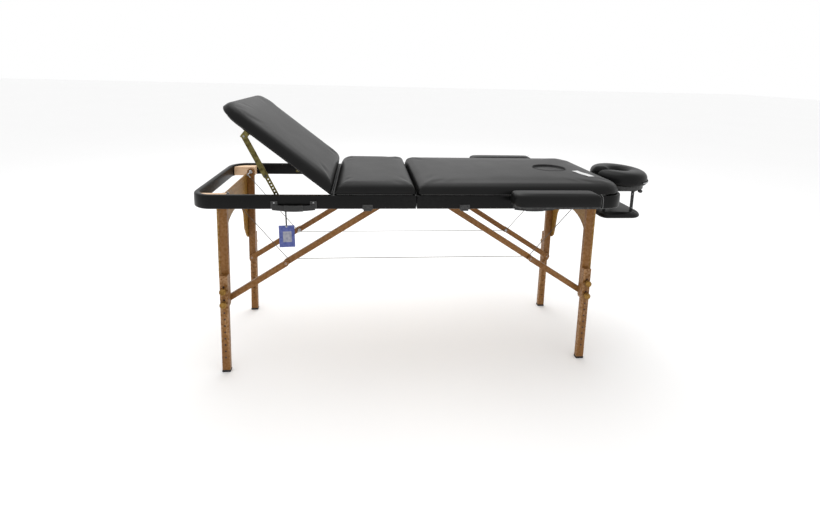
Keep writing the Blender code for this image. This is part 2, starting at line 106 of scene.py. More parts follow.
# ---- shader groups -----------------------------------------------------------------------
def new_group(name, inputs, outputs):
    """A shader node group with float, colour or vector sockets, and its two end nodes."""
    group = bpy.data.node_groups.new(name, "ShaderNodeTree")
    kinds = {"float": "NodeSocketFloat", "color": "NodeSocketColor", "vector": "NodeSocketVector"}
    for label, kind, value in inputs:
        socket = group.interface.new_socket(label, in_out="INPUT", socket_type=kinds[kind])
        if value is not None:
            socket.default_value = value
    for label, kind in outputs:
        group.interface.new_socket(label, in_out="OUTPUT", socket_type=kinds[kind])
    return group, group.nodes.new("NodeGroupInput"), group.nodes.new("NodeGroupOutput")


def math_node(tree, operation, a, b=None):
    node = tree.nodes.new("ShaderNodeMath")
    node.operation = operation
    for socket, value in zip(node.inputs, (a, b)):
        if value is None:
            continue
        if isinstance(value, (int, float)):
            socket.default_value = value
        else:
            tree.links.new(value, socket)
    return node.outputs[0]


def scaled_node(tree, value, scale, base):
    """The value times scale, plus base."""
    return math_node(tree, "ADD", math_node(tree, "MULTIPLY", value, scale), base)


def noise_node(tree, vector, scale, detail=3.0, roughness=0.5, distortion=0.0):
    node = tree.nodes.new("ShaderNodeTexNoise")
    node.inputs["Scale"].default_value = scale
    node.inputs["Detail"].default_value = detail
    node.inputs["Roughness"].default_value = roughness
    node.inputs["Distortion"].default_value = distortion
    tree.links.new(vector, node.inputs["Vector"])
    return node.outputs["Fac"]


def stretch_node(tree, vector, scale):
    node = tree.nodes.new("ShaderNodeVectorMath")
    node.operation = "MULTIPLY"
    node.inputs[1].default_value = scale
    tree.links.new(vector, node.inputs[0])
    return node.outputs[0]


def mix_node(tree, factor, a, b):
    """A blend of two colours, each a socket or three values."""
    node = tree.nodes.new("ShaderNodeMix")
    node.data_type = "RGBA"
    for socket, value in ((node.inputs[0], factor), (node.inputs[6], a), (node.inputs[7], b)):
        if hasattr(value, "is_output"):
            tree.links.new(value, socket)
        else:
            socket.default_value = (*value, 1.0)
    return node.outputs[2]


def ramp_node(tree, value, low, high):
    node = tree.nodes.new("ShaderNodeMapRange")
    node.inputs["From Min"].default_value = low
    node.inputs["From Max"].default_value = high
    tree.links.new(value, node.inputs["Value"])
    return node.outputs[0]


def build_timber():
    """Long grain along the vector's Z: growth rings, fine pores, and a gloss that follows."""
    group, given, out = new_group(
        "timber", [("Vector", "vector", None), ("Light", "color", None), ("Dark", "color", None)],
        [("Color", "color"), ("Gloss", "float"), ("Height", "float")])
    vector = given.outputs["Vector"]
    rings = noise_node(group, stretch_node(group, vector, (70.0, 70.0, 3.2)), 1.0, 4.0, 0.6, 0.35)
    broad = noise_node(group, stretch_node(group, vector, (9.0, 9.0, 2.0)), 1.0, 2.0)
    pores = noise_node(group, stretch_node(group, vector, (620.0, 620.0, 26.0)), 1.0, 2.0)
    share = math_node(group, "ADD", math_node(group, "MULTIPLY", rings, 0.65),
                      math_node(group, "MULTIPLY", broad, 0.35))
    tone = mix_node(group, ramp_node(group, share, 0.34, 0.66), given.outputs["Light"],
                    given.outputs["Dark"])
    flecks = ramp_node(group, pores, 0.57, 0.70)
    tinted = mix_node(group, math_node(group, "MULTIPLY", flecks, 0.35), tone,
                      given.outputs["Dark"])
    group.links.new(tinted, out.inputs["Color"])
    group.links.new(scaled_node(group, rings, 0.16, 0.34), out.inputs["Gloss"])
    group.links.new(math_node(group, "SUBTRACT", rings, flecks), out.inputs["Height"])
    return group


def build_hide():
    """Embossed grain of coated fabric: small pebbles, fine creases and a soft broad mottle."""
    group, given, out = new_group(
        "hide", [("Vector", "vector", None), ("Pebbles", "float", 850.0)],
        [("Height", "float"), ("Mottle", "float")])
    vector = given.outputs["Vector"]
    cells = group.nodes.new("ShaderNodeTexVoronoi")
    cells.feature = "F1"
    group.links.new(vector, cells.inputs["Vector"])
    group.links.new(given.outputs["Pebbles"], cells.inputs["Scale"])
    creases = noise_node(group, vector, 260.0, 4.0, 0.6, 0.4)
    height = math_node(group, "ADD", math_node(group, "MULTIPLY", cells.outputs["Distance"], 0.6),
                       math_node(group, "MULTIPLY", creases, 0.5))
    group.links.new(height, out.inputs["Height"])
    group.links.new(noise_node(group, vector, 7.0, 3.0), out.inputs["Mottle"])
    return group


def build_rub():
    """Where edges and corners have been rubbed: a mask from how sharply the surface turns."""
    group, given, out = new_group(
        "rub", [("Vector", "vector", None), ("Edge", "float", 0.5), ("Reach", "float", 0.56)],
        [("Mask", "float")])
    sharp = group.nodes.new("ShaderNodeMapRange")
    group.links.new(given.outputs["Edge"], sharp.inputs["Value"])
    sharp.inputs["From Min"].default_value = 0.50
    group.links.new(given.outputs["Reach"], sharp.inputs["From Max"])
    patchy = ramp_node(group, noise_node(group, given.outputs["Vector"], 90.0, 4.0), 0.38, 0.62)
    group.links.new(math_node(group, "MULTIPLY", sharp.outputs[0], patchy), out.inputs["Mask"])
    return group


def build_brushing():
    """Fine scratches along the vector's X with cloudy patches, for plated and turned metal."""
    group, given, out = new_group(
        "brushing", [("Vector", "vector", None)], [("Scratch", "float"), ("Cloud", "float")])
    vector = given.outputs["Vector"]
    fine = noise_node(group, stretch_node(group, vector, (60.0, 1800.0, 1800.0)), 1.0, 2.0)
    group.links.new(fine, out.inputs["Scratch"])
    group.links.new(noise_node(group, vector, 60.0, 4.0, 0.6), out.inputs["Cloud"])
    return group


def build_weave():
    """Over-and-under threads of woven strap."""
    group, given, out = new_group(
        "weave", [("Vector", "vector", None), ("Threads", "float", 900.0)], [("Height", "float")])
    parts = []
    for direction in ("X", "Z"):
        wave = group.nodes.new("ShaderNodeTexWave")
        wave.bands_direction = direction
        group.links.new(given.outputs["Vector"], wave.inputs["Vector"])
        group.links.new(given.outputs["Threads"], wave.inputs["Scale"])
        parts.append(wave.outputs["Fac"])
    group.links.new(math_node(group, "MAXIMUM", parts[0], parts[1]), out.inputs["Height"])
    return group


TIMBER, HIDE, RUB = build_timber(), build_hide(), build_rub()
BRUSHING, WEAVE = build_brushing(), build_weave()


# ---- finishes ----------------------------------------------------------------------------
class Finish:
    """One material: its tree, its Principled shader and its object coordinates."""

    def __init__(self, name, color, roughness, metallic=0.0):
        self.material = bpy.data.materials.new(name)
        self.material.use_nodes = True
        self.tree = self.material.node_tree
        self.shader = self.tree.nodes["Principled BSDF"]
        self.shader.inputs["Base Color"].default_value = (*color, 1.0)
        self.shader.inputs["Roughness"].default_value = roughness
        self.shader.inputs["Metallic"].default_value = metallic
        self.place = self.tree.nodes.new("ShaderNodeTexCoord").outputs["Object"]

    def turned(self, rotation):
        node = self.tree.nodes.new("ShaderNodeMapping")
        node.inputs["Rotation"].default_value = rotation
        self.tree.links.new(self.place, node.inputs["Vector"])
        return node.outputs[0]

    def group(self, tree, vector, **values):
        node = self.tree.nodes.new("ShaderNodeGroup")
        node.node_tree = tree
        self.tree.links.new(vector, node.inputs["Vector"])
        for label, value in values.items():
            if hasattr(value, "is_output"):
                self.tree.links.new(value, node.inputs[label])
            else:
                node.inputs[label].default_value = value
        return node

    def rubbed(self, reach=0.60):
        """The mask of the rubbed edges."""
        edge = self.tree.nodes.new("ShaderNodeNewGeometry").outputs["Pointiness"]
        return self.group(RUB, self.place, Edge=edge, Reach=reach).outputs["Mask"]

    def feed(self, socket, value):
        self.tree.links.new(value, self.shader.inputs[socket])

    def bump(self, height, strength, distance):
        node = self.tree.nodes.new("ShaderNodeBump")
        node.inputs["Strength"].default_value = strength
        node.inputs["Distance"].default_value = distance
        self.tree.links.new(height, node.inputs["Height"])
        self.feed("Normal", node.outputs[0])


def cover_finish(name, low, high, roughness, worn):
    """Black coated fabric: charcoal with a faint mottle, fine grain, paler rubbed edges."""
    finish = Finish(name, low, roughness)
    finish.shader.inputs["Specular IOR Level"].default_value = 0.14
    hide = finish.group(HIDE, finish.place, Pebbles=850.0)
    rub = finish.rubbed()
    base = mix_node(finish.tree, hide.outputs["Mottle"], low, high)
    color = mix_node(finish.tree, math_node(finish.tree, "MULTIPLY", rub, 0.35), base, worn)
    finish.feed("Base Color", color)
    finish.feed("Roughness", scaled_node(finish.tree, hide.outputs["Mottle"], 0.10,
                                         roughness - 0.05))
    finish.bump(hide.outputs["Height"], 0.16, 0.0004)
    return finish.material


def timber_finish(name, light, dark, rotation=(0.0, 0.0, 0.0), coat=0.03, worn=(0.75, 0.5, 0.3)):
    """Wood whose grain runs along Z once its coordinates are turned by the rotation."""
    finish = Finish(name, light, 0.42)
    finish.shader.inputs["Specular IOR Level"].default_value = 0.20
    finish.shader.inputs["Coat Weight"].default_value = coat
    finish.shader.inputs["Coat Roughness"].default_value = 0.25
    grain = finish.group(TIMBER, finish.turned(rotation), Light=(*light, 1.0), Dark=(*dark, 1.0))
    rub = finish.rubbed(0.58)
    finish.feed("Base Color", mix_node(finish.tree, math_node(finish.tree, "MULTIPLY", rub, 0.30),
                                       grain.outputs["Color"], worn))
    finish.feed("Roughness", grain.outputs["Gloss"])
    finish.bump(grain.outputs["Height"], 0.20, 0.0003)
    return finish.material


def metal_finish(name, bright, dull, roughness):
    """Plated or turned metal with brushing, cloudy dulling and brighter edges."""
    finish = Finish(name, bright, roughness, 1.0)
    lines = finish.group(BRUSHING, finish.place)
    rub = finish.rubbed()
    cloud = ramp_node(finish.tree, lines.outputs["Cloud"], 0.35, 0.65)
    base = mix_node(finish.tree, cloud, bright, dull)
    polished = tuple(min(1.0, c * 1.5) for c in bright)
    finish.feed("Base Color", mix_node(finish.tree, rub, base, polished))
    finish.feed("Roughness", scaled_node(finish.tree, cloud, 0.15, roughness - 0.06))
    finish.bump(lines.outputs["Scratch"], 0.10, 0.0001)
    return finish.material


def moulded_finish(name, color, roughness, worn):
    """Moulded plastic, rubber or paint: fine texture and slightly paler edges."""
    finish = Finish(name, color, roughness)
    grain = noise_node(finish.tree, finish.place, 1400.0, 2.0)
    cloud = noise_node(finish.tree, finish.place, 25.0, 3.0)
    finish.feed("Base Color", mix_node(finish.tree, finish.rubbed(), color, worn))
    finish.feed("Roughness", scaled_node(finish.tree, cloud, 0.14, roughness - 0.07))
    finish.bump(grain, 0.12, 0.0003)
    return finish.material


def strap_finish(name, color, threads):
    """Woven thread: painted highlight where a thread lies on top, painted shade in the hollows
    between threads.
    """
    finish = Finish(name, color, 0.8)
    weave = finish.group(WEAVE, finish.place, Threads=threads)
    # Painted light: thread crests are painted 2.2 times paler than the hollows, standing in for
    # highlight on top and shade between the threads.
    light = tuple(c * 2.2 for c in color)
    finish.feed("Base Color", mix_node(finish.tree, weave.outputs["Height"], color, light))
    finish.bump(weave.outputs["Height"], 0.6, 0.0006)
    return finish.material


def grey(level):
    return (level, level, level)


def brace_turn(end):
    """Turns object coordinates so that Z runs along a brace of this end."""
    low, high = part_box("head_near_upper_brace")
    slope = math.atan2(high.x - low.x, high.z - low.z)
    return (0.0, end * slope, 0.0)


UPRIGHT_TURN = (math.pi / 2, 0.0, 0.0)
LENGTHWISE_TURN = (0.0, math.pi / 2, 0.0)
CUSHION_COVER = cover_finish("cushion_cover", grey(0.004), grey(0.007), 0.38, grey(0.03))
FRAME_COVER = cover_finish("frame_cover", grey(0.002), grey(0.004), 0.32, grey(0.02))
DARK_COVER = cover_finish("side_cover", grey(0.004), grey(0.007), 0.38, grey(0.02))
SEAM_THREAD = strap_finish("seam_thread", grey(0.10), 1500.0)
LEG_WOOD = timber_finish("leg_beech", (0.215, 0.092, 0.016), (0.130, 0.050, 0.008))
BRACE_WOOD = {end: timber_finish(f"brace_beech_{name}", (0.225, 0.098, 0.020),
                                 (0.135, 0.052, 0.009), brace_turn(end)) for name, end in ENDS}
BOARD_WOOD = timber_finish("arch_board_ply", (0.250, 0.130, 0.010), (0.165, 0.078, 0.006),
                           UPRIGHT_TURN)
PALE_WOOD = timber_finish("block_beech", (0.88, 0.66, 0.46), (0.76, 0.50, 0.31),
                          LENGTHWISE_TURN, 0.05, (0.9, 0.7, 0.5))
DECK_WOOD = timber_finish("deck_ply", (0.66, 0.48, 0.29), (0.52, 0.35, 0.19),
                          LENGTHWISE_TURN, 0.0, (0.8, 0.6, 0.4))
BRIGHT_STEEL = metal_finish("bright_steel", (0.40, 0.40, 0.41), (0.26, 0.26, 0.27), 0.34)
CABLE_STEEL = moulded_finish("cable_steel", (0.075, 0.062, 0.052), 0.50, (0.12, 0.10, 0.09))
YELLOW_ZINC = metal_finish("yellow_zinc", (0.130, 0.112, 0.042), (0.055, 0.044, 0.015), 0.42)
BRASS = metal_finish("knob_brass", (0.30, 0.175, 0.050), (0.17, 0.092, 0.022), 0.42)
INSERT_STEEL = metal_finish("insert_steel", (0.09, 0.06, 0.05), (0.05, 0.035, 0.03), 0.55)
BLACK_PAINT = moulded_finish("black_paint", grey(0.006), 0.38, grey(0.05))
BLACK_PLASTIC = moulded_finish("black_plastic", grey(0.006), 0.48, grey(0.05))
RUBBER = moulded_finish("tip_rubber", grey(0.010), 0.80, grey(0.03))
WEBBING = strap_finish("webbing", grey(0.012), 700.0)
TAG_BLUE = moulded_finish("tag_blue", (0.035, 0.055, 0.22), 0.45, (0.08, 0.10, 0.30))
TAG_PANEL = moulded_finish("tag_panel", (0.20, 0.21, 0.27), 0.55, (0.3, 0.3, 0.35))
LABEL_WHITE = strap_finish("label_white", grey(0.34), 1200.0)


# ---- mesh tools --------------------------------------------------------------------------
WELD_REACH = 0.00001


def show(thing):
    bpy.context.scene.collection.objects.link(thing)


def place_mesh(name, mesh_data, material, body, sharp=40.0):
    """Turn bmesh data into a shown piece that moves with a body."""
    bmesh.ops.recalc_face_normals(mesh_data, faces=mesh_data.faces)
    mesh = bpy.data.meshes.new(name)
    mesh_data.to_mesh(mesh)
    mesh_data.free()
    mesh.materials.append(material)
    mesh.shade_smooth()
    mesh.set_sharp_from_angle(angle=math.radians(sharp))
    piece = bpy.data.objects.new(name, mesh)
    show(piece)
    if body:
        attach(piece, body)
    return piece


def join_rings(mesh_data, rings, closed=False, caps=True):
    """Bridge equal rings of points; each ring is a closed outline."""
    loops = [[mesh_data.verts.new(p) for p in ring] for ring in rings]
    pairs = list(zip(loops, loops[1:]))
    if closed:
        pairs.append((loops[-1], loops[0]))
    for a, b in pairs:
        count = len(a)
        for i in range(count):
            j = (i + 1) % count
            mesh_data.faces.new((a[i], a[j], b[j], b[i]))
    if caps and not closed:
        mesh_data.faces.new(list(reversed(loops[0])))
        mesh_data.faces.new(loops[-1])
    return loops


def sweep(mesh_data, path, section, upright=(0.0, 0.0, 1.0), closed=False):
    """Carry a section outline along a path; section's second value points along upright."""
    path = [Vector(p) for p in path]
    upright = Vector(upright)
    rings = []
    count = len(path)
    for i, point in enumerate(path):
        if closed:
            ahead = path[(i + 1) % count] - path[i - 1]
        else:
            ahead = path[min(i + 1, count - 1)] - path[max(i - 1, 0)]
        ahead.normalize()
        side = ahead.cross(upright).normalized()
        top = side.cross(ahead).normalized()
        rings.append([point + side * a + top * b for a, b in section])
    join_rings(mesh_data, rings, closed)


def round_section(radius, sides=10):
    return [(radius * math.cos(math.tau * i / sides), radius * math.sin(math.tau * i / sides))
            for i in range(sides)]


def soft_section(half_a, half_b, radius, bulge=0.0, steps=4):
    """Rounded rectangle whose sides may bulge a little."""
    points = []
    for sa, sb, start, side in ((1, 1, 0, (0, 1)), (-1, 1, 90, (-1, 0)),
                                (-1, -1, 180, (0, -1)), (1, -1, 270, (1, 0))):
        points += arc((sa * (half_a - radius), sb * (half_b - radius)), radius, start,
                      start + 90, steps)
        if bulge:
            points.append((side[0] * (half_a + bulge), side[1] * (half_b + bulge)))
    return points


def axis_frame(axis):
    """The axis and two directions across it, each of length one."""
    axis = Vector(axis).normalized()
    helper = Vector((0, 0, 1)) if abs(axis.z) < 0.9 else Vector((1, 0, 0))
    first = axis.cross(helper).normalized()
    return axis, first, axis.cross(first).normalized()


def turn(mesh_data, centre, axis, profile, sides=24, flutes=0, depth=0.0, fluted=()):
    """Lathe a profile of (distance along the axis, radius), with optional grip flutes."""
    axis, first, second = axis_frame(axis)
    rings = []
    for index, (along, radius) in enumerate(profile):
        ring = []
        for i in range(sides):
            angle = math.tau * i / sides
            r = radius
            if index in fluted:
                r -= depth * (0.5 - 0.5 * math.cos(flutes * angle))
            ring.append(Vector(centre) + axis * along
                        + first * (r * math.cos(angle)) + second * (r * math.sin(angle)))
        rings.append(ring)
    join_rings(mesh_data, rings)


def screw(mesh_data, centre, axis, radius, washer=True):
    """A domed head with a round socket, on its washer."""
    seat = Vector(centre)
    if washer:
        turn(mesh_data, centre, axis, ((0, radius * 1.5), (radius * 0.18, radius * 1.5),
                                       (radius * 0.25, radius * 1.4)), 20)
        seat = seat + Vector(axis).normalized() * (radius * 0.25)
    turn(mesh_data, seat, axis, ((0, radius), (radius * 0.45, radius * 0.95),
                                 (radius * 0.68, radius * 0.72), (radius * 0.74, radius * 0.48),
                                 (radius * 0.45, radius * 0.44)), 18)


def soft_box(mesh_data, low, high, radius, segments=2):
    """A block with rounded edges."""
    low, high = Vector(low), Vector(high)
    made = bmesh.ops.create_cube(mesh_data, size=1.0)["verts"]
    size, centre = high - low, (high + low) / 2
    for vert in made:
        vert.co = Vector(vert.co[k] * size[k] + centre[k] for k in range(3))
    edges = list({e for v in made for e in v.link_edges})
    bmesh.ops.bevel(mesh_data, geom=edges, offset=radius, segments=segments, affect="EDGES",
                    profile=0.5)


def arc(centre, radius, start, stop, steps):
    """Points from the start angle to the stop angle, in degrees."""
    return [(centre[0] + radius * math.cos(math.radians(start + (stop - start) * i / steps)),
             centre[1] + radius * math.sin(math.radians(start + (stop - start) * i / steps)))
            for i in range(steps + 1)]


def apply_modifiers(piece):
    """Freeze a piece's modifiers into its mesh."""
    graph = bpy.context.evaluated_depsgraph_get()
    made = bpy.data.meshes.new_from_object(piece.evaluated_get(graph))
    piece.modifiers.clear()
    piece.data = made


def drop_set_normals(piece):
    """Let the shading follow the mesh again."""
    normals = piece.data.attributes.get("custom_normal")
    if normals:
        piece.data.attributes.remove(normals)


def ease_edges(piece, width, segments, angle):
    ease = piece.modifiers.new("eased_edges", "BEVEL")
    ease.width = width
    ease.segments = segments
    ease.limit_method = "ANGLE"
    ease.angle_limit = math.radians(angle)
    ease.harden_normals = True


def swept_piece(name, path, section, material, body, upright=(0, 0, 1), closed=False,
                sharp=40.0):
    mesh_data = bmesh.new()
    sweep(mesh_data, path, section, upright, closed)
    return place_mesh(name, mesh_data, material, body, sharp)


def raised_piece(name, mesh_data, material):
    """A fitting of the backrest, shaped lying flat and turned up about the hinge."""
    piece = place_mesh(name, mesh_data, material, None)
    piece.data.transform(RAISED)
    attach(piece, "backrest")


def dress(node, material, bevel=0.0, segments=2):
    """Keep a frame piece, with a better finish and eased edges."""
    piece = NODES[node]
    piece.data.materials.clear()
    piece.data.materials.append(material)
    drop_set_normals(piece)
    piece.data.shade_smooth()
    weld = piece.modifiers.new("weld", "WELD")
    weld.merge_threshold = WELD_REACH
    if bevel:
        ease_edges(piece, bevel, segments, 38)
    return piece


# ---- padded pieces -----------------------------------------------------------------------
def plan_outline(x, y, radii, steps=6):
    """A rectangle with its own radius at each corner: (-,-), (+,-), (+,+), (-,+)."""
    corners = ((x[0], y[0], 1, 1, 180), (x[1], y[0], -1, 1, 270),
               (x[1], y[1], -1, -1, 0), (x[0], y[1], 1, -1, 90))
    points = []
    for (cx, cy, sx, sy, start), radius in zip(corners, radii):
        points += arc((cx + sx * radius, cy + sy * radius), radius, start, start + 90, steps)
    return points


def rolled_edge(top, run, drop):
    """(height, inset) pairs of an edge that rolls over, run wide and drop deep."""
    turns = [math.radians(degrees) for degrees in range(15, 91, 15)]
    return [(top - drop * (1 - math.sin(t)), run * (1 - math.cos(t))) for t in turns]


def pad_levels(low, high, run, drop, foot=0.003):
    """(height, inset) pairs of a pad with a small foot and a rolled upper edge."""
    levels = [(low, foot), (low + foot, 0.0), ((low + high - drop) / 2, 0.0), (high - drop, 0.0)]
    return levels + rolled_edge(high, run, drop)


def ring_at(outline, z, mirror=1):
    return [Vector((x, mirror * y, z)) for x, y in outline]


def pad_rings(x, y, low, high, radii, run, drop, crown=0.0, slants=(0.0, 0.0)):
    """Rings of a rectangular pad; slants lean its two ends in as they rise."""
    levels = pad_levels(low, high, run, drop)
    half = min(x[1] - x[0], y[1] - y[0]) / 2
    for share in (0.35, 0.65, 0.92):
        inset = run + (half - run - 0.012) * share
        levels.append((high + crown * (1 - (1 - share) ** 2), inset))
    rings = []
    for z, inset in levels:
        lean = [(z - low) * slant for slant in slants]
        outline = plan_outline((x[0] + inset + lean[0], x[1] - inset - lean[1]),
                               (y[0] + inset, y[1] - inset),
                               [max(r - inset, 0.006) for r in radii])
        rings.append(ring_at(outline, z))
    return rings


def fill_pad(piece, voxel, cap, base_z=None, pressure=4.0):
    """Even the mesh out, let the foam press its cover outward a little, and smooth once."""
    even = piece.modifiers.new("even", "REMESH")
    even.mode = "VOXEL"
    even.voxel_size = voxel
    apply_modifiers(piece)
    start = [v.co.copy() for v in piece.data.vertices]
    base = min(p.z for p in start) if base_z is None else base_z
    held = piece.vertex_groups.new(name="base")
    held.add([i for i, p in enumerate(start) if p.z < base + 0.010], 1.0, "REPLACE")
    cloth = piece.modifiers.new("fill", "CLOTH")
    settings = cloth.settings
    settings.quality = 4
    settings.use_pressure = True
    settings.uniform_pressure_force = pressure
    settings.tension_stiffness = 18.0
    settings.compression_stiffness = 18.0
    settings.bending_stiffness = 2.0
    settings.vertex_group_mass = "base"
    settings.effector_weights.gravity = 0.0
    cloth.collision_settings.use_collision = False
    cloth.collision_settings.use_self_collision = False
    for frame_number in range(1, 21):
        bpy.context.scene.frame_set(frame_number)
    graph = bpy.context.evaluated_depsgraph_get()
    filled = [v.co.copy() for v in piece.evaluated_get(graph).to_mesh().vertices]
    piece.evaluated_get(graph).to_mesh_clear()
    piece.modifiers.clear()
    for vert, first, last in zip(piece.data.vertices, start, filled):
        move = last - first
        if move.length > cap:
            move *= cap / move.length
        vert.co = first + move
    bpy.context.scene.frame_set(1)
    relax = piece.modifiers.new("relax", "SMOOTH")
    relax.factor = 0.5
    relax.iterations = 3
    finer = piece.modifiers.new("finer", "SUBSURF")
    finer.levels = 1
    finer.render_levels = 1
    apply_modifiers(piece)
    piece.data.shade_smooth()
    return piece


def pad(name, rings, body, nodes, voxel, cap, material, place=None):
    """A padded piece from its rings, filled, turned into place and riding on its body."""
    mesh_data = bmesh.new()
    join_rings(mesh_data, rings)
    piece = place_mesh(name, mesh_data, material, None)
    fill_pad(piece, voxel, cap)
    piece.data.materials.clear()
    piece.data.materials.append(material)
    if place is not None:
        piece.data.transform(place)
    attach(piece, body)
    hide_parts(*nodes)
    return piece


PRESS_LIMIT = 0.003
PAD_CROWN = 0.003
FOLD_SLANT = math.tan(math.radians(19.0))


def seat_pad():
    """The short pad, whose end under the backrest leans away from it."""
    low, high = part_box("seat_cushion")
    rings = pad_rings((low.x + 0.001, high.x - 0.0005), (low.y + 0.001, high.y - 0.001),
                      low.z, high.z, (0.014,) * 4, 0.036, 0.032, PAD_CROWN, (FOLD_SLANT, 0.0))
    pad("seat_pad", rings, "foot_frame", ["seat_cushion"], 0.0075, PRESS_LIMIT, CUSHION_COVER)


def plug_oval(gap, steps):
    """The face plug's outline, let out by the gap."""
    low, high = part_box("face_plug")
    centre = middle("face_plug")
    radii = ((high.x - low.x) / 2 + gap, (high.y - low.y) / 2 + gap)
    return [(centre.x + radii[0] * math.cos(math.tau * i / steps),
             centre.y + radii[1] * math.sin(math.tau * i / steps)) for i in range(steps)]


def head_pad():
    """The long pad, with the oval face hole cut through it."""
    low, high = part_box("head_cushion")
    rings = pad_rings((low.x + 0.0005, high.x - 0.002), (low.y + 0.001, high.y - 0.001),
                      low.z, high.z, (0.014, 0.100, 0.100, 0.014), 0.046, 0.034, PAD_CROWN)
    piece = pad("head_pad", rings, "head_frame", ["head_cushion"], 0.0085, PRESS_LIMIT,
                CUSHION_COVER)
    mesh_data = bmesh.new()
    outline = plug_oval(0.0015, 64)
    join_rings(mesh_data, [ring_at(outline, z) for z in (low.z - 0.02, high.z + 0.03)])
    cutter = place_mesh("face_hole_cutter", mesh_data, CUSHION_COVER, None)
    cut = piece.modifiers.new("face_hole", "BOOLEAN")
    cut.operation = "DIFFERENCE"
    cut.object = cutter
    apply_modifiers(piece)
    bpy.data.objects.remove(cutter)
    return piece


def raised_pad():
    """The backrest's pad, shaped lying flat and turned up about its hinge."""
    length = HINGE.x - RAIL_LOW.x
    low = CUSHION_LOW - HINGE.z
    thick = CUSHION_HIGH - CUSHION_LOW
    rings = pad_rings((-length + 0.001, -0.0030), (-HALF_WIDTH + 0.001, HALF_WIDTH - 0.001),
                      low, low + thick, (0.085, 0.014, 0.014, 0.085), 0.036, 0.032, PAD_CROWN,
                      (0.0, FOLD_SLANT))
    pad("backrest_pad", rings, "backrest", ["backrest_cushion"], 0.008, PRESS_LIMIT,
        CUSHION_COVER, RAISED)


def plug_pad():
    """The face plug: a snug oval block whose rolled rim leaves a fine dark line."""
    low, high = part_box("face_plug")
    half_width = (high.y - low.y) / 2
    top = high.z - 0.0005
    levels = [(low.z, 0.002), (low.z + 0.003, 0.0), (top - 0.012, 0.0)]
    levels += rolled_edge(top, 0.006, 0.007)
    for share in (0.25, 0.5, 0.75, 0.95):
        levels.append((top + 0.0015 * (1 - (1 - share) ** 2), 0.006 + (half_width - 0.007) * share))
    mesh_data = bmesh.new()
    join_rings(mesh_data, [ring_at(plug_oval(-inset, 48), z) for z, inset in levels])
    piece = place_mesh("face_plug_pad", mesh_data, CUSHION_COVER, "face_plug")
    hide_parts("face_plug")


def surface_of(piece):
    """A ray tester on a piece's finished mesh."""
    mesh = piece.data
    return BVHTree.FromPolygons([v.co.copy() for v in mesh.vertices],
                                [tuple(p.vertices) for p in mesh.polygons])


def settle(tree, x, y, from_z, lift):
    """The place on the surface below, raised by the lift."""
    hit = tree.ray_cast(Vector((x, y, from_z)), Vector((0, 0, -1)))[0]
    return Vector((x, y, (hit.z if hit else from_z - 0.05) + lift))


def hole_hem(tree):
    """A rolled hem round the face hole."""
    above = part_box("face_plug")[1].z + 0.05
    path = [settle(tree, x, y, above, -0.0007) for x, y in plug_oval(0.0035, 72)]
    swept_piece("face_hole_hem", path, round_section(0.0018, 8), DARK_COVER, "head_frame",
                closed=True)


STITCH_PITCH = 0.008


def stitched_line(name, path, body, upright):
    """A row of short stitches laid along a path."""
    mesh_data = bmesh.new()
    for start, stop in zip(path, path[1:]):
        run = stop - start
        count = max(1, int(run.length / STITCH_PITCH))
        for i in range(count):
            a = start + run * ((i + 0.18) / count)
            b = start + run * ((i + 0.82) / count)
            centre = (a + b) / 2 + Vector(upright) * 0.0004
            sweep(mesh_data, [a, centre, b], round_section(0.00055, 6), upright)
    place_mesh(name, mesh_data, SEAM_THREAD, body)


def armrest_pads():
    """Padded boards: rounded toward the centre, square at the head end with a sewn edge."""
    for side, sign in SIDES:
        node = f"{side}_armrest"
        low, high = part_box(node)
        inner, outer = sorted((abs(low.y), abs(high.y)))
        rings = []
        levels = pad_levels(low.z + 0.006, high.z, 0.020, 0.018)
        levels += [(high.z + 0.0005, 0.030), (high.z + 0.001, 0.041)]
        for z, inset in levels:
            outline = plan_outline((low.x + inset, high.x - inset), (inner + inset, outer - inset),
                                   [max(r - inset, 0.003) for r in (0.018, 0.012, 0.012, 0.036)])
            rings.append(ring_at(outline, z, sign))
        pad(f"{side}_armrest_pad", rings, node, [node], 0.005, 0.0015, DARK_COVER, None)
        mesh_data = bmesh.new()
        board = plan_outline((low.x + 0.004, high.x - 0.004), (inner + 0.003, outer - 0.004),
                             (0.016, 0.008, 0.008, 0.030))
        join_rings(mesh_data, [ring_at(board, z, sign) for z in (low.z, low.z + 0.009)])
        place_mesh(f"{side}_armrest_board", mesh_data, BLACK_PLASTIC, node, 30)
        x = high.x + 0.0004
        seam = [Vector((x, sign * b, z)) for b, z in (
            (outer + 0.0006, low.z + 0.004), (outer + 0.0006, high.z - 0.020),
            (outer - 0.006, high.z - 0.007), (outer - 0.018, high.z - 0.001))]
        swept_piece(f"{side}_armrest_piping", seam, round_section(0.0009, 8), SEAM_THREAD, node,
                    (1, 0, 0))
        mesh_data = bmesh.new()
        for offset in (-0.11, 0.11):
            peg = Vector(((low.x + high.x) / 2 + offset, sign * (inner + 0.010), low.z + 0.014))
            turn(mesh_data, peg, (0, -sign, 0), ((0, 0.006), (0.058, 0.006), (0.060, 0.0048)), 20)
            turn(mesh_data, peg - Vector((0, sign * 0.004, 0)), (0, -sign, 0),
                 ((0, 0.010), (0.004, 0.010), (0.005, 0.009)), 20)
        place_mesh(f"{side}_armrest_pegs", mesh_data, BRIGHT_STEEL, node)


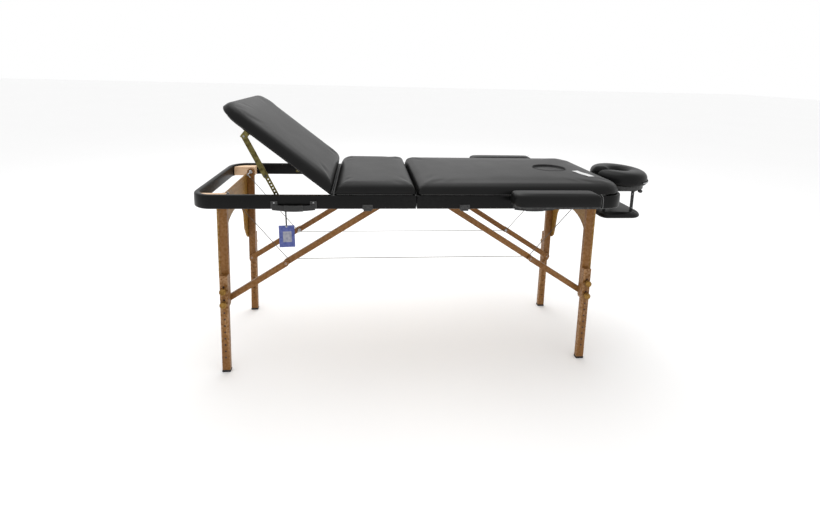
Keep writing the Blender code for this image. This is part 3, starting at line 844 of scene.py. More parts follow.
# ---- frame covers ------------------------------------------------------------------------
def rail_path(end, steps=10):
    """Centre line of a half frame's side and end rails, from fold round to fold."""
    inset = RAIL_THICK / 2
    radius = CORNER - inset
    straight = HALF_LENGTH - CORNER
    across = HALF_WIDTH - CORNER
    line = [(CENTRE_GAP, -HALF_WIDTH + inset)]
    line += [(straight * k / 6, -HALF_WIDTH + inset) for k in range(1, 6)]
    line += arc((straight, -across), radius, -90, 0, steps)
    line += [(HALF_LENGTH - inset, across * k / 3) for k in (-2, -1, 0, 1, 2)]
    line += arc((straight, across), radius, 0, 90, steps)
    line += [(straight * k / 6, HALF_WIDTH - inset) for k in range(5, 0, -1)]
    line += [(CENTRE_GAP, HALF_WIDTH - inset)]
    height = (RAIL_BOTTOM + RAIL_TOP) / 2
    return [at(end * x, y, height) for x, y in line]


STAPLE_PITCH = 0.055


def rail_covers():
    """The coated fabric stretched round each half's rails, with its hem underneath."""
    for prefix, end in ENDS:
        path = rail_path(end)
        body = f"{prefix}_frame"
        half_height = (RAIL_TOP - RAIL_BOTTOM) / 2
        cover = swept_piece(f"{prefix}_rail_cover", path,
                            soft_section(RAIL_THICK / 2, half_height, 0.0065, 0.0004),
                            FRAME_COVER, body, sharp=60)
        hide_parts(*[f"{prefix}_{part}_rail" for part in ("near", "far", "end")])
        under = [Vector((p.x, p.y, RAIL_BOTTOM - 0.0002)) for p in path]
        swept_piece(f"{prefix}_rail_hem", under, soft_section(0.0055, 0.0006, 0.0005), WEBBING,
                    body)
        mesh_data = bmesh.new()
        for start, stop in zip(under, under[1:]):
            run = stop - start
            count = max(1, int(run.length / STAPLE_PITCH))
            for i in range(count):
                spot = start + run * ((i + 0.5) / count)
                lean = run.normalized() * 0.0048
                spot.z -= 0.0008
                sweep(mesh_data, [spot - lean, spot + lean], round_section(0.0005, 6))
        place_mesh(f"{prefix}_hem_staples", mesh_data, BRIGHT_STEEL, body)


def wooden_frame():
    """Blocks, decks, centre rails and hinges keep their solids and get eased edges."""
    for prefix, _ in ENDS:
        for side, _ in SIDES:
            dress(f"{prefix}_{side}_block", PALE_WOOD, 0.0018, 3)
        dress(f"{prefix}_centre_rail", FRAME_COVER, 0.003, 3)
        dress(f"{prefix}_hinge_leaf", BRIGHT_STEEL, 0.0003, 1)
    for deck in ("seat_deck", "head_deck", "backrest_deck"):
        board = dress(deck, DECK_WOOD, 0.0008, 2).data
        board.materials.append(DARK_COVER)
        for face in board.polygons:
            face.material_index = 0 if face.normal.z < -0.5 else 1
    for pin in ("centre_hinge_pin", "backrest_hinge_pin"):
        dress(pin, BRIGHT_STEEL, 0.0006, 2)
    for prefix, end in ENDS:
        mesh_data = bmesh.new()
        for i in range(7):
            y = -0.18 + 0.06 * i
            spot = at(end * 0.0125, y, RAIL_BOTTOM - 0.0018)
            screw(mesh_data, spot, (0, 0, -1), 0.0026, False)
        place_mesh(f"{prefix}_hinge_screws", mesh_data, BRIGHT_STEEL, f"{prefix}_frame")


# ---- legs and braces ---------------------------------------------------------------------
HOLE_COUNT, HOLE_PITCH, LOWEST_HOLE = 12, 0.030, 0.070
LOWER_GRIP_HEIGHT = 0.325
TIP_HEIGHT, TIP_LIP = 0.010, 0.0014


def lower_leg(prefix, side, sign):
    """The drilled lower leg, its rubber tip, its threaded inserts and its lower knob."""
    node = f"{prefix}_{side}_lower_leg"
    low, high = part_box(node)
    x = middle(node).x
    mesh_data = bmesh.new()
    mesh_data.from_mesh(NODES[node].data)
    bmesh.ops.remove_doubles(mesh_data, verts=mesh_data.verts, dist=WELD_REACH)
    geometry = mesh_data.verts[:] + mesh_data.edges[:] + mesh_data.faces[:]
    bmesh.ops.bisect_plane(mesh_data, geom=geometry, plane_co=(0, 0, TIP_HEIGHT - 0.004),
                           plane_no=(0, 0, 1), clear_inner=True)
    bmesh.ops.holes_fill(mesh_data, edges=[e for e in mesh_data.edges if e.is_boundary])
    for face in mesh_data.faces:
        face.material_index = 0
    leg = place_mesh(f"{node}_wood", mesh_data, LEG_WOOD, node)
    drop_set_normals(leg)
    ease_edges(leg, 0.0012, 3, 60)
    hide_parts(node)
    mesh_data = bmesh.new()
    soft_box(mesh_data, (low.x - TIP_LIP, low.y - TIP_LIP, low.z),
             (high.x + TIP_LIP, high.y + TIP_LIP, low.z + TIP_HEIGHT), 0.0022, 3)
    place_mesh(f"{prefix}_{side}_rubber_tip", mesh_data, RUBBER, node)
    outer = faces_across(node, sign)[1]
    mesh_data = bmesh.new()
    for i in range(HOLE_COUNT):
        spot = Vector((x, outer, LOWEST_HOLE + HOLE_PITCH * i))
        turn(mesh_data, spot, (0, -sign, 0), ((-0.0004, 0.0034), (-0.0005, 0.0042),
                                              (0.0002, 0.0043), (0.0003, 0.0030),
                                              (0.0045, 0.0026), (0.0046, 0.0001)), 16)
    place_mesh(f"{prefix}_{side}_inserts", mesh_data, INSERT_STEEL, node)
    leg_knob(f"{prefix}_{side}_lower_grip", (x, outer, LOWER_GRIP_HEIGHT), sign, f"{prefix}_legs")


def leg_knob(name, place, sign, body):
    """A fluted brass knob on its washer and neck."""
    mesh_data = bmesh.new()
    turn(mesh_data, place, (0, sign, 0),
         ((0.0003, 0.0105), (0.0018, 0.0105), (0.0022, 0.0098), (0.0022, 0.0062), (0.0075, 0.0058),
          (0.0082, 0.0118), (0.0096, 0.0148), (0.0180, 0.0148), (0.0205, 0.0132),
          (0.0212, 0.0104), (0.0204, 0.0080), (0.0213, 0.0050), (0.0216, 0.0002)),
         72, 18, 0.0013, (6, 7, 8))
    return place_mesh(name, mesh_data, BRASS, body, 50)


def legs():
    for prefix, end in ENDS:
        for side, sign in SIDES:
            dress(f"{prefix}_{side}_upright", LEG_WOOD, 0.0014, 3)
            lower_leg(prefix, side, sign)
            node = f"{prefix}_{side}_knob"
            outer = faces_across(f"{prefix}_{side}_lower_leg", sign)[1]
            knob = leg_knob(f"{prefix}_{side}_upper_grip", (middle(node).x, outer, middle(node).z),
                            sign, node)
            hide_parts(node)
        dress(f"{prefix}_arch_board", BOARD_WOOD, 0.0012, 2)
        leg_fasteners(prefix, end)


def leg_fasteners(prefix, end):
    """Pivot bolts at the frame and the screws that hold the arched board."""
    pivots, screws = bmesh.new(), bmesh.new()
    board_low, board_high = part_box(f"{prefix}_arch_board")
    face = board_high.x if end > 0 else board_low.x
    for side, sign in SIDES:
        node = f"{prefix}_{side}_upright"
        pivot_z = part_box(node)[1].z - LEG_WIDTH / 2
        screw(pivots, (middle(node).x, faces_across(node, sign)[0], pivot_z), (0, -sign, 0), 0.0065)
        for z in (board_low.z + 0.030, board_high.z - 0.030):
            screw(screws, (face, middle(node).y, z), (end, 0, 0), 0.0042, False)
    place_mesh(f"{prefix}_pivot_bolts", pivots, BRIGHT_STEEL, f"{prefix}_legs")
    place_mesh(f"{prefix}_board_screws", screws, BRIGHT_STEEL, f"{prefix}_legs")


BRACE_WIDTH = 0.026


def brace_pins(prefix, side, end):
    """The three pivots of a brace: at the leg, at the knuckle and at the frame."""
    upper_low, upper_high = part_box(f"{prefix}_{side}_upper_brace")
    lower_low, lower_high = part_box(f"{prefix}_{side}_lower_brace")
    near_fold = upper_low.x if end > 0 else upper_high.x
    far_out = lower_high.x if end > 0 else lower_low.x
    knuckle_x = upper_high.x if end > 0 else upper_low.x
    half = BRACE_WIDTH / 2
    head = Vector((near_fold + end * half, 0, upper_high.z - half))
    knuckle = Vector((knuckle_x - end * half, 0, upper_low.z + half))
    foot = Vector((far_out - end * half, 0, lower_low.z + half))
    return foot, knuckle, head


def braces():
    """The two-part braces with their pivots, and the steel brackets that hang them."""
    for prefix, end in ENDS:
        fixed, knuckles, feet, brackets = (bmesh.new() for _ in range(4))
        for side, sign in SIDES:
            for part in ("lower", "upper"):
                dress(f"{prefix}_{side}_{part}_brace", BRACE_WOOD[end], 0.0012, 3)
            foot, knuckle, head = brace_pins(prefix, side, end)
            upper_inner, upper_outer = faces_across(f"{prefix}_{side}_upper_brace", sign)
            lower_inner, lower_outer = faces_across(f"{prefix}_{side}_lower_brace", sign)
            for mesh_data, pin, face, out in ((feet, foot, lower_inner, -sign),
                                              (knuckles, knuckle, lower_outer, sign)):
                turn(mesh_data, (pin.x, face, pin.z), (0, out, 0),
                     ((-0.0010, 0.0050), (0.0001, 0.0050), (0.0002, 0.0042), (-0.0008, 0.0030)), 20)
            screw(knuckles, (knuckle.x, upper_inner, knuckle.z), (0, -sign, 0), 0.0048)
            screw(fixed, (head.x, upper_inner - sign * 0.0021, head.z), (0, -sign, 0), 0.0045)
            for face, out in ((upper_inner, -sign), (upper_outer, sign)):
                y = sorted((face + out * 0.0004, face + out * 0.0020))
                soft_box(brackets, (head.x - 0.011, y[0], head.z - 0.011),
                         (head.x + 0.011, y[1], RAIL_TOP - 0.0068), 0.0005, 1)
            y = sorted((upper_inner - sign * 0.0020, upper_outer + sign * 0.0020))
            soft_box(brackets, (head.x - 0.016, y[0], RAIL_TOP - 0.0082),
                     (head.x + 0.016, y[1], RAIL_TOP - 0.0066), 0.0005, 1)
        place_mesh(f"{prefix}_brace_bolts", fixed, BRIGHT_STEEL, f"{prefix}_frame")
        place_mesh(f"{prefix}_brace_brackets", brackets, BRIGHT_STEEL, f"{prefix}_frame")
        place_mesh(f"{prefix}_knuckle_bolts", knuckles, BRIGHT_STEEL, f"{prefix}_upper_braces")
        place_mesh(f"{prefix}_brace_foot_bolts", feet, BRIGHT_STEEL, f"{prefix}_lower_braces")


CABLE_RADIUS = 0.0015
EYE_RADIUS = 0.0045


def cables():
    """Steel cables in four straight lengths a side: from each leg's corner to the brace knuckle, and
    on to the fold.
    """
    for prefix, end in ENDS:
        for side, sign in SIDES:
            low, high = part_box(f"{side}_cable")
            y = (low.y + high.y) / 2
            section = round_section(CABLE_RADIUS, 8)
            corner = Vector((middle(f"{prefix}_{side}_upright").x, y, high.z - CABLE_RADIUS))
            foot, knuckle, head = brace_pins(prefix, side, end)
            knuckle = Vector((knuckle.x, y, knuckle.z))
            frame_body, brace_body = f"{prefix}_frame", f"{prefix}_upper_braces"
            steps = 28
            slope = [corner.lerp(knuckle, i / steps) for i in range(steps + 1)]
            leg_part = swept_piece(f"{prefix}_{side}_corner_cable", slope, section, CABLE_STEEL,
                                   None, (0, 1, 0))
            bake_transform(leg_part)
            flat = [Vector((knuckle.x + (FOLD - knuckle.x) * i / 20, y, knuckle.z))
                    for i in range(21)]
            across = swept_piece(f"{prefix}_{side}_cross_cable", flat, section, CABLE_STEEL,
                                 brace_body, (0, 1, 0))
            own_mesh(across)
            if end < 0:
                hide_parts(f"{side}_cable")
            mesh_data = bmesh.new()
            inner = faces_across(f"{prefix}_{side}_upper_brace", sign)[0]
            reach = abs(y - inner)
            turn(mesh_data, (knuckle.x, inner, knuckle.z), (0, -sign, 0),
                 ((0, 0.0032), (reach + 0.002, 0.0032), (reach + 0.003, 0.0022)), 16)
            turn(mesh_data, (knuckle.x, y + sign * 0.0022, knuckle.z), (0, -sign, 0),
                 ((0, 0.0062), (0.0044, 0.0062), (0.0046, 0.0055)), 20)
            place_mesh(f"{prefix}_{side}_cable_post", mesh_data, BRIGHT_STEEL, brace_body)
            mesh_data = bmesh.new()
            toward = (knuckle - corner).normalized()
            turn(mesh_data, corner, toward, ((0.005, 0.0026), (0.020, 0.0026), (0.021, 0.0018)), 14)
            eye = [corner + Vector((a, 0, b)) for a, b in round_section(EYE_RADIUS, 20)]
            sweep(mesh_data, eye, round_section(0.0012, 8), (0, 1, 0), True)
            post = faces_across(f"{prefix}_{side}_upright", sign)[0]
            reach = abs(y - post)
            turn(mesh_data, (corner.x, post, corner.z), (0, -sign, 0),
                 ((0, 0.0026), (reach + 0.003, 0.0026), (reach + 0.004, 0.0020)), 16)
            place_mesh(f"{prefix}_{side}_cable_eye", mesh_data, BRIGHT_STEEL, frame_body)


# ---- backrest fittings -------------------------------------------------------------------
def stays():
    """Yellow zinc stays with their brackets, rivets and black pivot bolts."""
    brackets, seats, arm_rivets, bar_rivets, bolts = (bmesh.new() for _ in range(5))
    for side, sign in SIDES:
        for part in ("arm", "bar"):
            dress(f"{side}_stay_{part}", YELLOW_ZINC, 0.0007, 2)
        arm_low, arm_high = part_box(f"{side}_stay_arm")
        bar_low, bar_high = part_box(f"{side}_stay_bar")
        top = Vector((arm_low.x + 0.011, 0, arm_high.z - 0.011))
        arm_foot = Vector((arm_high.x - 0.011, 0, arm_low.z + 0.011))
        foot = Vector((bar_high.x - 0.009, 0, bar_low.z + 0.009))
        outer = faces_across(f"{side}_stay_arm", sign)[1]
        inner = faces_across(f"{side}_stay_bar", sign)[0]
        screw(arm_rivets, (top.x, outer, top.z), (0, sign, 0), 0.0046, False)
        screw(bolts, (arm_foot.x, outer, arm_foot.z), (0, sign, 0), 0.0050, False)
        screw(bolts, (arm_foot.x, inner, arm_foot.z), (0, -sign, 0), 0.0062)
        screw(bar_rivets, (foot.x, inner, foot.z), (0, -sign, 0), 0.0048)
        local = RAISED.inverted() @ Vector((top.x, 0, top.z))
        for low_y in (outer + sign * 0.0004, inner - sign * 0.0066):
            y = sorted((low_y, low_y + sign * 0.0016))
            soft_box(brackets, (local.x - 0.012, y[0], local.z - 0.010),
                     (local.x + 0.012, y[1], -0.0034), 0.0006, 1)
        y = sorted((outer + sign * 0.0022, inner - sign * 0.0066))
        soft_box(brackets, (local.x - 0.020, y[0], -0.0050), (local.x + 0.020, y[1], -0.0033),
                 0.0006, 1)
        rail_face = sign * (HALF_WIDTH - RAIL_THICK)
        y = sorted((rail_face - sign * 0.0004, rail_face - sign * 0.0022))
        soft_box(seats, (foot.x - 0.018, y[0], foot.z - 0.016), (foot.x + 0.018, y[1],
                                                               foot.z + 0.016), 0.0008, 2)
        turn(seats, (foot.x, rail_face, foot.z), (0, -sign, 0), ((0, 0.0042), (0.0155, 0.0042)), 16)
        for dx in (-0.012, 0.012):
            screw(seats, (foot.x + dx, rail_face - sign * 0.0022, foot.z - 0.010),
                  (0, -sign, 0), 0.0022, False)
    raised_piece("stay_top_brackets", brackets, YELLOW_ZINC)
    place_mesh("stay_rail_brackets", seats, YELLOW_ZINC, "foot_frame")
    place_mesh("stay_top_rivets", arm_rivets, BRIGHT_STEEL, "stay_arms")
    place_mesh("stay_middle_bolts", bolts, BLACK_PAINT, "stay_arms")
    place_mesh("stay_foot_rivets", bar_rivets, BRIGHT_STEEL, "stay_bars")


def backrest_hinges():
    """Two strap hinges: one leaf under the backrest deck, one under the seat deck."""
    raised, fixed, sleeve = (bmesh.new() for _ in range(3))
    turn(sleeve, (HINGE.x + 0.0005, -HALF_WIDTH + 0.024, HINGE.z + 0.0005), (0, 1, 0),
         ((0, 0.0048), (2 * HALF_WIDTH - 0.048, 0.0048)), 14)
    place_mesh("backrest_hinge_cover", sleeve, DARK_COVER, "foot_frame")
    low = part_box("seat_deck")[0]
    z = low.z - 0.0004
    barrel = ((0, 0.0036), (0.028, 0.0036))
    for y in (-0.17, 0.17):
        soft_box(raised, (-0.060, y - 0.014, -0.0049), (-0.0045, y + 0.014, -0.0033), 0.0005, 1)
        for x in (-0.050, -0.032, -0.014):
            screw(raised, (x, y, -0.0049), (0, 0, -1), 0.0028, False)
        turn(raised, (0, y - 0.030, 0), (0, 1, 0), barrel, 16)
        soft_box(fixed, (low.x + 0.002, y - 0.014, z - 0.0016), (low.x + 0.060, y + 0.014, z),
                 0.0005, 1)
        for x in (0.014, 0.032, 0.050):
            screw(fixed, (low.x + x, y, z - 0.0016), (0, 0, -1), 0.0028, False)
        turn(fixed, (HINGE.x, y - 0.001, HINGE.z), (0, 1, 0), barrel, 16)
    raised_piece("backrest_hinge_straps", raised, BRIGHT_STEEL)
    place_mesh("seat_hinge_straps", fixed, BRIGHT_STEEL, "foot_frame")


# ---- handles, latches, feet --------------------------------------------------------------
def handles():
    """A woven strap with a padded grip between two moulded lugs on each near rail."""
    face = -HALF_WIDTH
    for prefix, _ in ENDS:
        node = f"{prefix}_handle"
        low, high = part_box(node)
        length = high.x - low.x
        lugs, screws = bmesh.new(), bmesh.new()
        for x in (low.x + 0.013, high.x - 0.013):
            soft_box(lugs, (x - 0.014, face - 0.0052, RAIL_BOTTOM + 0.004),
                     (x + 0.014, face - 0.0004, RAIL_BOTTOM + 0.036), 0.0020, 3)
            screw(screws, (x, face - 0.0052, RAIL_BOTTOM + 0.029), (0, -1, 0), 0.0036, False)
        place_mesh(f"{prefix}_handle_lugs", lugs, BLACK_PLASTIC, f"{prefix}_frame")
        place_mesh(f"{prefix}_handle_screws", screws, BRIGHT_STEEL, f"{prefix}_frame")
        path = []
        for i in range(33):
            t = i / 32
            lift = math.sin(math.pi * t)
            path.append(Vector((low.x + 0.006 + (length - 0.012) * t,
                                face - 0.0068 - 0.0052 * lift ** 0.6,
                                (low.z + high.z) / 2 + 0.002 - 0.004 * lift)))
        strap = swept_piece(f"{prefix}_handle_strap", path,
                            soft_section(0.0016, 0.0115, 0.0014, 0.0, 3), WEBBING, node)
        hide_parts(node)
        swept_piece(f"{prefix}_handle_grip", path[9:24],
                    soft_section(0.0034, 0.0130, 0.0030, 0.0003, 4), BLACK_PLASTIC, node)


LATCH_X = 0.205
CASE_FEET_X = (0.20, 0.72)


def latches():
    """Case latches near the fold and the rubber feet on the far rail."""
    face = -HALF_WIDTH
    hook, keeper = bmesh.new(), bmesh.new()
    for mesh_data, end in ((hook, -1), (keeper, 1)):
        base = FOLD + end * LATCH_X
        soft_box(mesh_data, (base - 0.022, face - 0.0045, RAIL_BOTTOM - 0.001),
                 (base + 0.022, face - 0.0003, RAIL_BOTTOM + 0.020), 0.0015, 3)
        soft_box(mesh_data, (base - 0.017, face - 0.0050, RAIL_BOTTOM - 0.0075),
                 (base + 0.017, face + 0.012, RAIL_BOTTOM - 0.0006), 0.0025, 3)
        for dx in (-0.014, 0.014):
            screw(mesh_data, (base + dx, face - 0.0045, RAIL_BOTTOM + 0.012), (0, -1, 0),
                  0.0028, False)
    place_mesh("case_latch_hook", hook, BLACK_PAINT, "foot_frame")
    place_mesh("case_latch_keeper", keeper, BLACK_PAINT, "head_frame")
    for prefix, end in ENDS:
        mesh_data = bmesh.new()
        for x in CASE_FEET_X:
            turn(mesh_data, at(end * x, HALF_WIDTH, RAIL_BOTTOM + 0.028), (0, 1, 0),
                 ((0, 0.0125), (0.003, 0.0125), (0.0065, 0.0110), (0.0080, 0.0080),
                  (0.0082, 0.0030), (0.0060, 0.0026)), 28)
        place_mesh(f"{prefix}_case_feet", mesh_data, RUBBER, f"{prefix}_frame")


# ---- face cradle and hand shelf ----------------------------------------------------------
ROD_LOW, ROD_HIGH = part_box("cradle_rods")
ROD_RADIUS = (ROD_HIGH.z - ROD_LOW.z) / 2
ROD_Y = ROD_HIGH.y - ROD_RADIUS
ROD_Z = (ROD_LOW.z + ROD_HIGH.z) / 2
ROD_BEND = 0.024


def cradle_frame():
    """Bent tube, lock knob, tilting platform and its two hinge plates."""
    low, rod_y, height, bend = ROD_LOW, ROD_Y, ROD_Z, ROD_BEND
    tip = ROD_HIGH.x - ROD_RADIUS
    line = [(low.x, -rod_y), (low.x + 0.08, -rod_y)]
    line += arc((tip - bend, -rod_y + bend), bend, -90, 0, 8)
    line += arc((tip - bend, rod_y - bend), bend, 0, 90, 8)
    line += [(low.x + 0.08, rod_y), (low.x, rod_y)]
    tube = swept_piece("cradle_tube", ring_at(line, height), round_section(ROD_RADIUS * 0.94, 20),
                       BLACK_PAINT, "cradle_rods")
    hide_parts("cradle_rods")
    mesh_data = bmesh.new()
    for sign in (-1, 1):
        turn(mesh_data, (low.x - 0.0002, sign * rod_y, height), (1, 0, 0),
             ((0, 0.0135), (0.003, 0.0135), (0.004, 0.0125)), 24)
    place_mesh("cradle_sockets", mesh_data, BRIGHT_STEEL, "head_frame")
    dress("cradle_platform", BLACK_PLASTIC, 0.0025, 3)
    plates = bmesh.new()
    for sign in (-1, 1):
        y = sorted((sign * (rod_y - 0.030), sign * (rod_y - 0.034)))
        soft_box(plates, (tip - 0.040, y[0], height + 0.002), (tip + 0.004, y[1], height + 0.024),
                 0.0015, 2)
    place_mesh("cradle_tilt_plates", plates, BLACK_PAINT, "cradle_platform")
    knob_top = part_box("cradle_lock_knob")[1].y
    mesh_data = bmesh.new()
    turn(mesh_data, (middle("cradle_lock_knob").x, knob_top, height), (0, -1, 0),
         ((0, 0.0052), (0.0050, 0.0050), (0.0062, 0.0084), (0.0075, 0.0090), (0.0165, 0.0090),
          (0.0190, 0.0078), (0.0196, 0.0050), (0.0198, 0.0002)), 60, 10, 0.0014, (3, 4, 5))
    knob = place_mesh("cradle_lock_grip", mesh_data, BLACK_PLASTIC, "cradle_lock_knob",
                      50)
    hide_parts("cradle_lock_knob")


def horseshoe(centre, outer, inner, mouth, steps=48):
    """Plan of the cradle cushion, open toward the table."""
    start = math.degrees(math.asin(mouth / outer[1]))
    start_inner = math.degrees(math.asin(min(mouth / inner[1], 0.98)))
    points = []
    for i in range(steps + 1):
        angle = math.radians(180 + start + (360 - 2 * start) * i / steps)
        points.append((centre.x + outer[0] * math.cos(angle), centre.y + outer[1] * math.sin(angle)))
    for i in range(steps // 2 + 1):
        share = i / (steps // 2)
        angle = math.radians(540 - start_inner - (360 - 2 * start_inner) * share)
        points.append((centre.x + inner[0] * math.cos(angle), centre.y + inner[1] * math.sin(angle)))
    return points


def cradle_pad():
    """Soft horseshoe cushion, fully rounded, with a zip round its outer side."""
    low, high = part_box("cradle_cushion")
    centre = Vector((high.x - (high.y - low.y) / 2 * 0.8873, 0, 0))
    outer = (high.x - centre.x, high.y)
    levels = [(low.z, 0.010), (low.z + 0.004, 0.004), (low.z + 0.012, 0.0005),
              (high.z - 0.026, 0.0)]
    levels += rolled_edge(high.z + 0.007, 0.030, 0.033)
    rings = []
    for z, inset in levels:
        plan = horseshoe(centre, (outer[0] - inset, outer[1] - inset),
                         (0.042 + inset * 0.9, 0.036 + inset * 0.9), 0.020 + inset * 0.6)
        rings.append(ring_at(plan, z))
    pad("cradle_pad", rings, "cradle_platform", ["cradle_cushion"], 0.005, 0.003, DARK_COVER,
        None)
    zip_z = low.z + 0.019
    line = []
    for i in range(25):
        angle = math.radians(-70 + 78 * i / 24)
        line.append(Vector((centre.x + (outer[0] + 0.0022) * math.cos(angle),
                            (outer[1] + 0.0022) * math.sin(angle), zip_z)))
    swept_piece("cradle_zip_tape", line, soft_section(0.0009, 0.0042, 0.0006, 0.0, 2), WEBBING,
                "cradle_platform")
    teeth = bmesh.new()
    for start, stop in zip(line, line[1:]):
        for i in range(3):
            spot = start.lerp(stop, (i + 0.5) / 3)
            outward = (spot - Vector((centre.x, 0, zip_z))).normalized()
            side = Vector((0, 0, 0.0017))
            sweep(teeth, [spot + outward * 0.0010 - side, spot + outward * 0.0010 + side],
                  round_section(0.0009, 6), outward)
    place_mesh("cradle_zip_teeth", teeth, BRIGHT_STEEL, "cradle_platform")


def hand_shelf():
    """Padded rest hung under the cradle by four flat straps."""
    low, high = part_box("hand_shelf")
    levels = [(low.z, 0.006), (low.z + 0.003, 0.001), (low.z + 0.008, 0.0)]
    levels += rolled_edge(high.z, 0.018, 0.014)
    levels += [(high.z + 0.001, 0.045), (high.z + 0.002, 0.080), (high.z + 0.002, 0.110)]
    rings = []
    for z, inset in levels:
        outline = plan_outline((low.x + inset, high.x - inset), (low.y + inset, high.y - inset),
                               [max(r - inset, 0.004) for r in (0.035, 0.070, 0.070, 0.035)])
        rings.append(ring_at(outline, z))
    pad("hand_shelf_pad", rings, "hand_shelf", ["hand_shelf"], 0.005, 0.002, DARK_COVER, None)
    straps, loops, rivets = (bmesh.new() for _ in range(3))
    for x in (ROD_LOW.x + 0.028, ROD_HIGH.x - 0.036):
        for sign in (-1, 1):
            y = sign * ROD_Y
            loop = [Vector((x, y + b, ROD_Z + a)) for a, b in round_section(0.0092, 24)]
            sweep(loops, loop, soft_section(0.0007, 0.0080, 0.0005, 0.0, 2), (1, 0, 0), True)
            soft_box(straps, (x - 0.0080, y - 0.0012, high.z - 0.008),
                     (x + 0.0080, y + 0.0012, ROD_Z - 0.0105), 0.0005, 1)
            for z in (ROD_Z - 0.020, high.z + 0.012):
                screw(rivets, (x, y + sign * 0.0012, z), (0, sign, 0), 0.0032, False)
    place_mesh("hand_shelf_loops", loops, WEBBING, "cradle_rods")
    place_mesh("hand_shelf_straps", straps, WEBBING, "hand_shelf")
    place_mesh("hand_shelf_rivets", rivets, BRIGHT_STEEL, "hand_shelf")


# ---- small trim --------------------------------------------------------------------------
def hang_tag():
    """A plain blue card with a blank pale panel, hung on a short tab from the near rail."""
    corner = at(-0.570, -HALF_WIDTH - 0.0035, 0.0)
    width, top, bottom = 0.064, 0.694, 0.600
    face = corner.y
    lean = Matrix.Rotation(math.radians(-2.0), 4, "Y")
    hang = Vector((corner.x + width / 2, face, top))
    to_place = Matrix.Translation(hang) @ lean @ Matrix.Translation(-hang)
    for name, box_low, box_high, material in (
            ("hang_tag_card", (corner.x, face, bottom), (corner.x + width, face + 0.0012, top),
             TAG_BLUE),
            ("hang_tag_panel", (corner.x + 0.016, face - 0.0003, bottom + 0.022),
             (corner.x + width - 0.013, face + 0.0005, top - 0.026), TAG_PANEL),
            ("hang_tag_tab", (corner.x + width / 2 - 0.003, face - 0.0004, top - 0.008),
             (corner.x + width / 2 + 0.003, face + 0.0002, RAIL_BOTTOM + 0.008), WEBBING)):
        mesh_data = bmesh.new()
        soft_box(mesh_data, box_low, box_high, 0.00025, 1)
        mesh_data.transform(to_place)
        place_mesh(name, mesh_data, material, "foot_frame")
    mesh_data = bmesh.new()
    turn(mesh_data, hang + Vector((0, 0.0001, -0.005)), (0, -1, 0),
         ((0, 0.0036), (0.0006, 0.0036), (0.0008, 0.0020), (0.0002, 0.0018)), 20)
    place_mesh("hang_tag_eyelet", mesh_data, BRIGHT_STEEL, "foot_frame")


def care_label(tree):
    """A small blank white label lying on the long pad beside the face plug."""
    centre = at(0.815, -0.118, 0)
    turn_by = Matrix.Rotation(math.radians(-74.0), 2)
    columns, rows = 12, 6
    length, width = 0.108, 0.036
    mesh_data = bmesh.new()
    grid = []
    for j in range(rows + 1):
        row = []
        for i in range(columns + 1):
            local = Vector(((i / columns - 0.5) * length, (j / rows - 0.5) * width))
            offset = turn_by @ local
            ripple = 0.0006 * math.sin(9.0 * i / columns + 2.0 * j / rows)
            row.append(mesh_data.verts.new(settle(tree, centre.x + offset.x, centre.y + offset.y,
                                                  CUSHION_HIGH + 0.05, 0.0012 + ripple)))
        grid.append(row)
    for j in range(rows):
        for i in range(columns):
            mesh_data.faces.new((grid[j][i], grid[j][i + 1], grid[j + 1][i + 1], grid[j + 1][i]))
    label = place_mesh("care_label", mesh_data, LABEL_WHITE, "head_frame")
    thick = label.modifiers.new("thickness", "SOLIDIFY")
    thick.thickness = 0.0005
    thick.offset = 0.0


def pad_seams():
    """Sewn lines round the lower edge of the fixed pads, where cover meets rail."""
    z = CUSHION_LOW + 0.0035
    for name, body, clear in (("seat", "foot_frame", 0.016), ("head", "head_frame", 0.105)):
        low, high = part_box(f"{name}_cushion")
        start = low.x + 0.016
        run = high.x - clear - low.x - 0.016
        for side, sign in SIDES:
            line = [Vector((start + run * i / 12, sign * (HALF_WIDTH + 0.0004), z))
                    for i in range(13)]
            stitched_line(f"{name}_{side}_stitches", line, body, (0, sign, 0))


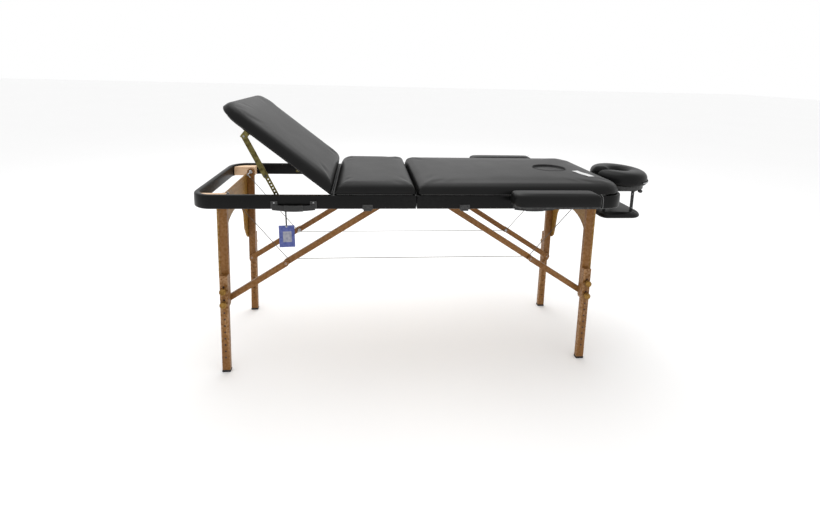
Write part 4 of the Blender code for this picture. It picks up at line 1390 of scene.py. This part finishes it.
# ---- stage, light, camera ----------------------------------------------------------------
def studio():
    """A near-white floor and sky with two wide lamps above and behind."""
    mesh_data = bmesh.new()
    bmesh.ops.create_grid(mesh_data, x_segments=1, y_segments=1, size=30.0)
    mesh = bpy.data.meshes.new("floor")
    mesh_data.to_mesh(mesh)
    mesh_data.free()
    floor = bpy.data.objects.new("floor", mesh)
    floor.location.z = -0.0005
    show(floor)
    paint = Finish("floor_paint", grey(0.95), 0.9)
    paint.shader.inputs["Specular IOR Level"].default_value = 0.1
    shade = noise_node(paint.tree, paint.place, 0.6, 2.0)
    paint.feed("Base Color", mix_node(paint.tree, shade, grey(0.94), grey(0.96)))
    mesh.materials.append(paint.material)
    world = bpy.data.worlds.new("studio")
    bpy.context.scene.world = world
    world.use_nodes = True
    sky = world.node_tree.nodes["Background"].inputs
    sky["Color"].default_value = (1.0, 1.0, 1.0, 1.0)
    sky["Strength"].default_value = 1.0
    aim = Vector((0.0, 0.0, 0.8))
    for name, place, power in (("overhead", (-0.3, 0.6, 3.6), 50.0),
                               ("back_top", (0.2, 3.0, 3.6), 22.0)):
        light = bpy.data.lights.new(name, "AREA")
        light.energy = power
        light.size = 3.0
        lamp = bpy.data.objects.new(name, light)
        lamp.location = place
        lamp.rotation_euler = (aim - Vector(place)).to_track_quat("-Z", "Y").to_euler()
        show(lamp)


def camera():
    """Seen from the near side, a little toward the foot end and above the top."""
    place = at(-0.2282, -1.9939, 1.3430)
    heading, dip, roll = 0.0798, 0.1418, 0.0252
    ahead = Vector((math.sin(heading) * math.cos(dip), math.cos(heading) * math.cos(dip),
                    -math.sin(dip)))
    right = Vector((math.cos(heading), -math.sin(heading), 0.0))
    upward = right.cross(ahead)
    side = right * math.cos(roll) + upward * math.sin(roll)
    top = upward * math.cos(roll) - right * math.sin(roll)
    data = bpy.data.cameras.new("camera")
    data.sensor_width = 36.0
    data.lens = 18.49
    data.shift_x, data.shift_y = 0.0164, -0.1656
    data.clip_end = 60.0
    view = bpy.data.objects.new("camera", data)
    rows = Matrix((side, top, -ahead)).transposed().to_4x4()
    view.matrix_world = Matrix.Translation(place) @ rows
    show(view)
    bpy.context.scene.camera = view
    bpy.context.scene.view_settings.view_transform = "Standard"


# ---- assembly ----------------------------------------------------------------------------
camera()
studio()
rail_covers()
wooden_frame()
seat_pad()
raised_pad()
HEAD_TREE = surface_of(head_pad())
plug_pad()
hole_hem(HEAD_TREE)
care_label(HEAD_TREE)
pad_seams()
armrest_pads()
legs()
braces()
cables()
stays()
backrest_hinges()
handles()
latches()
cradle_frame()
cradle_pad()
hand_shelf()
hang_tag()
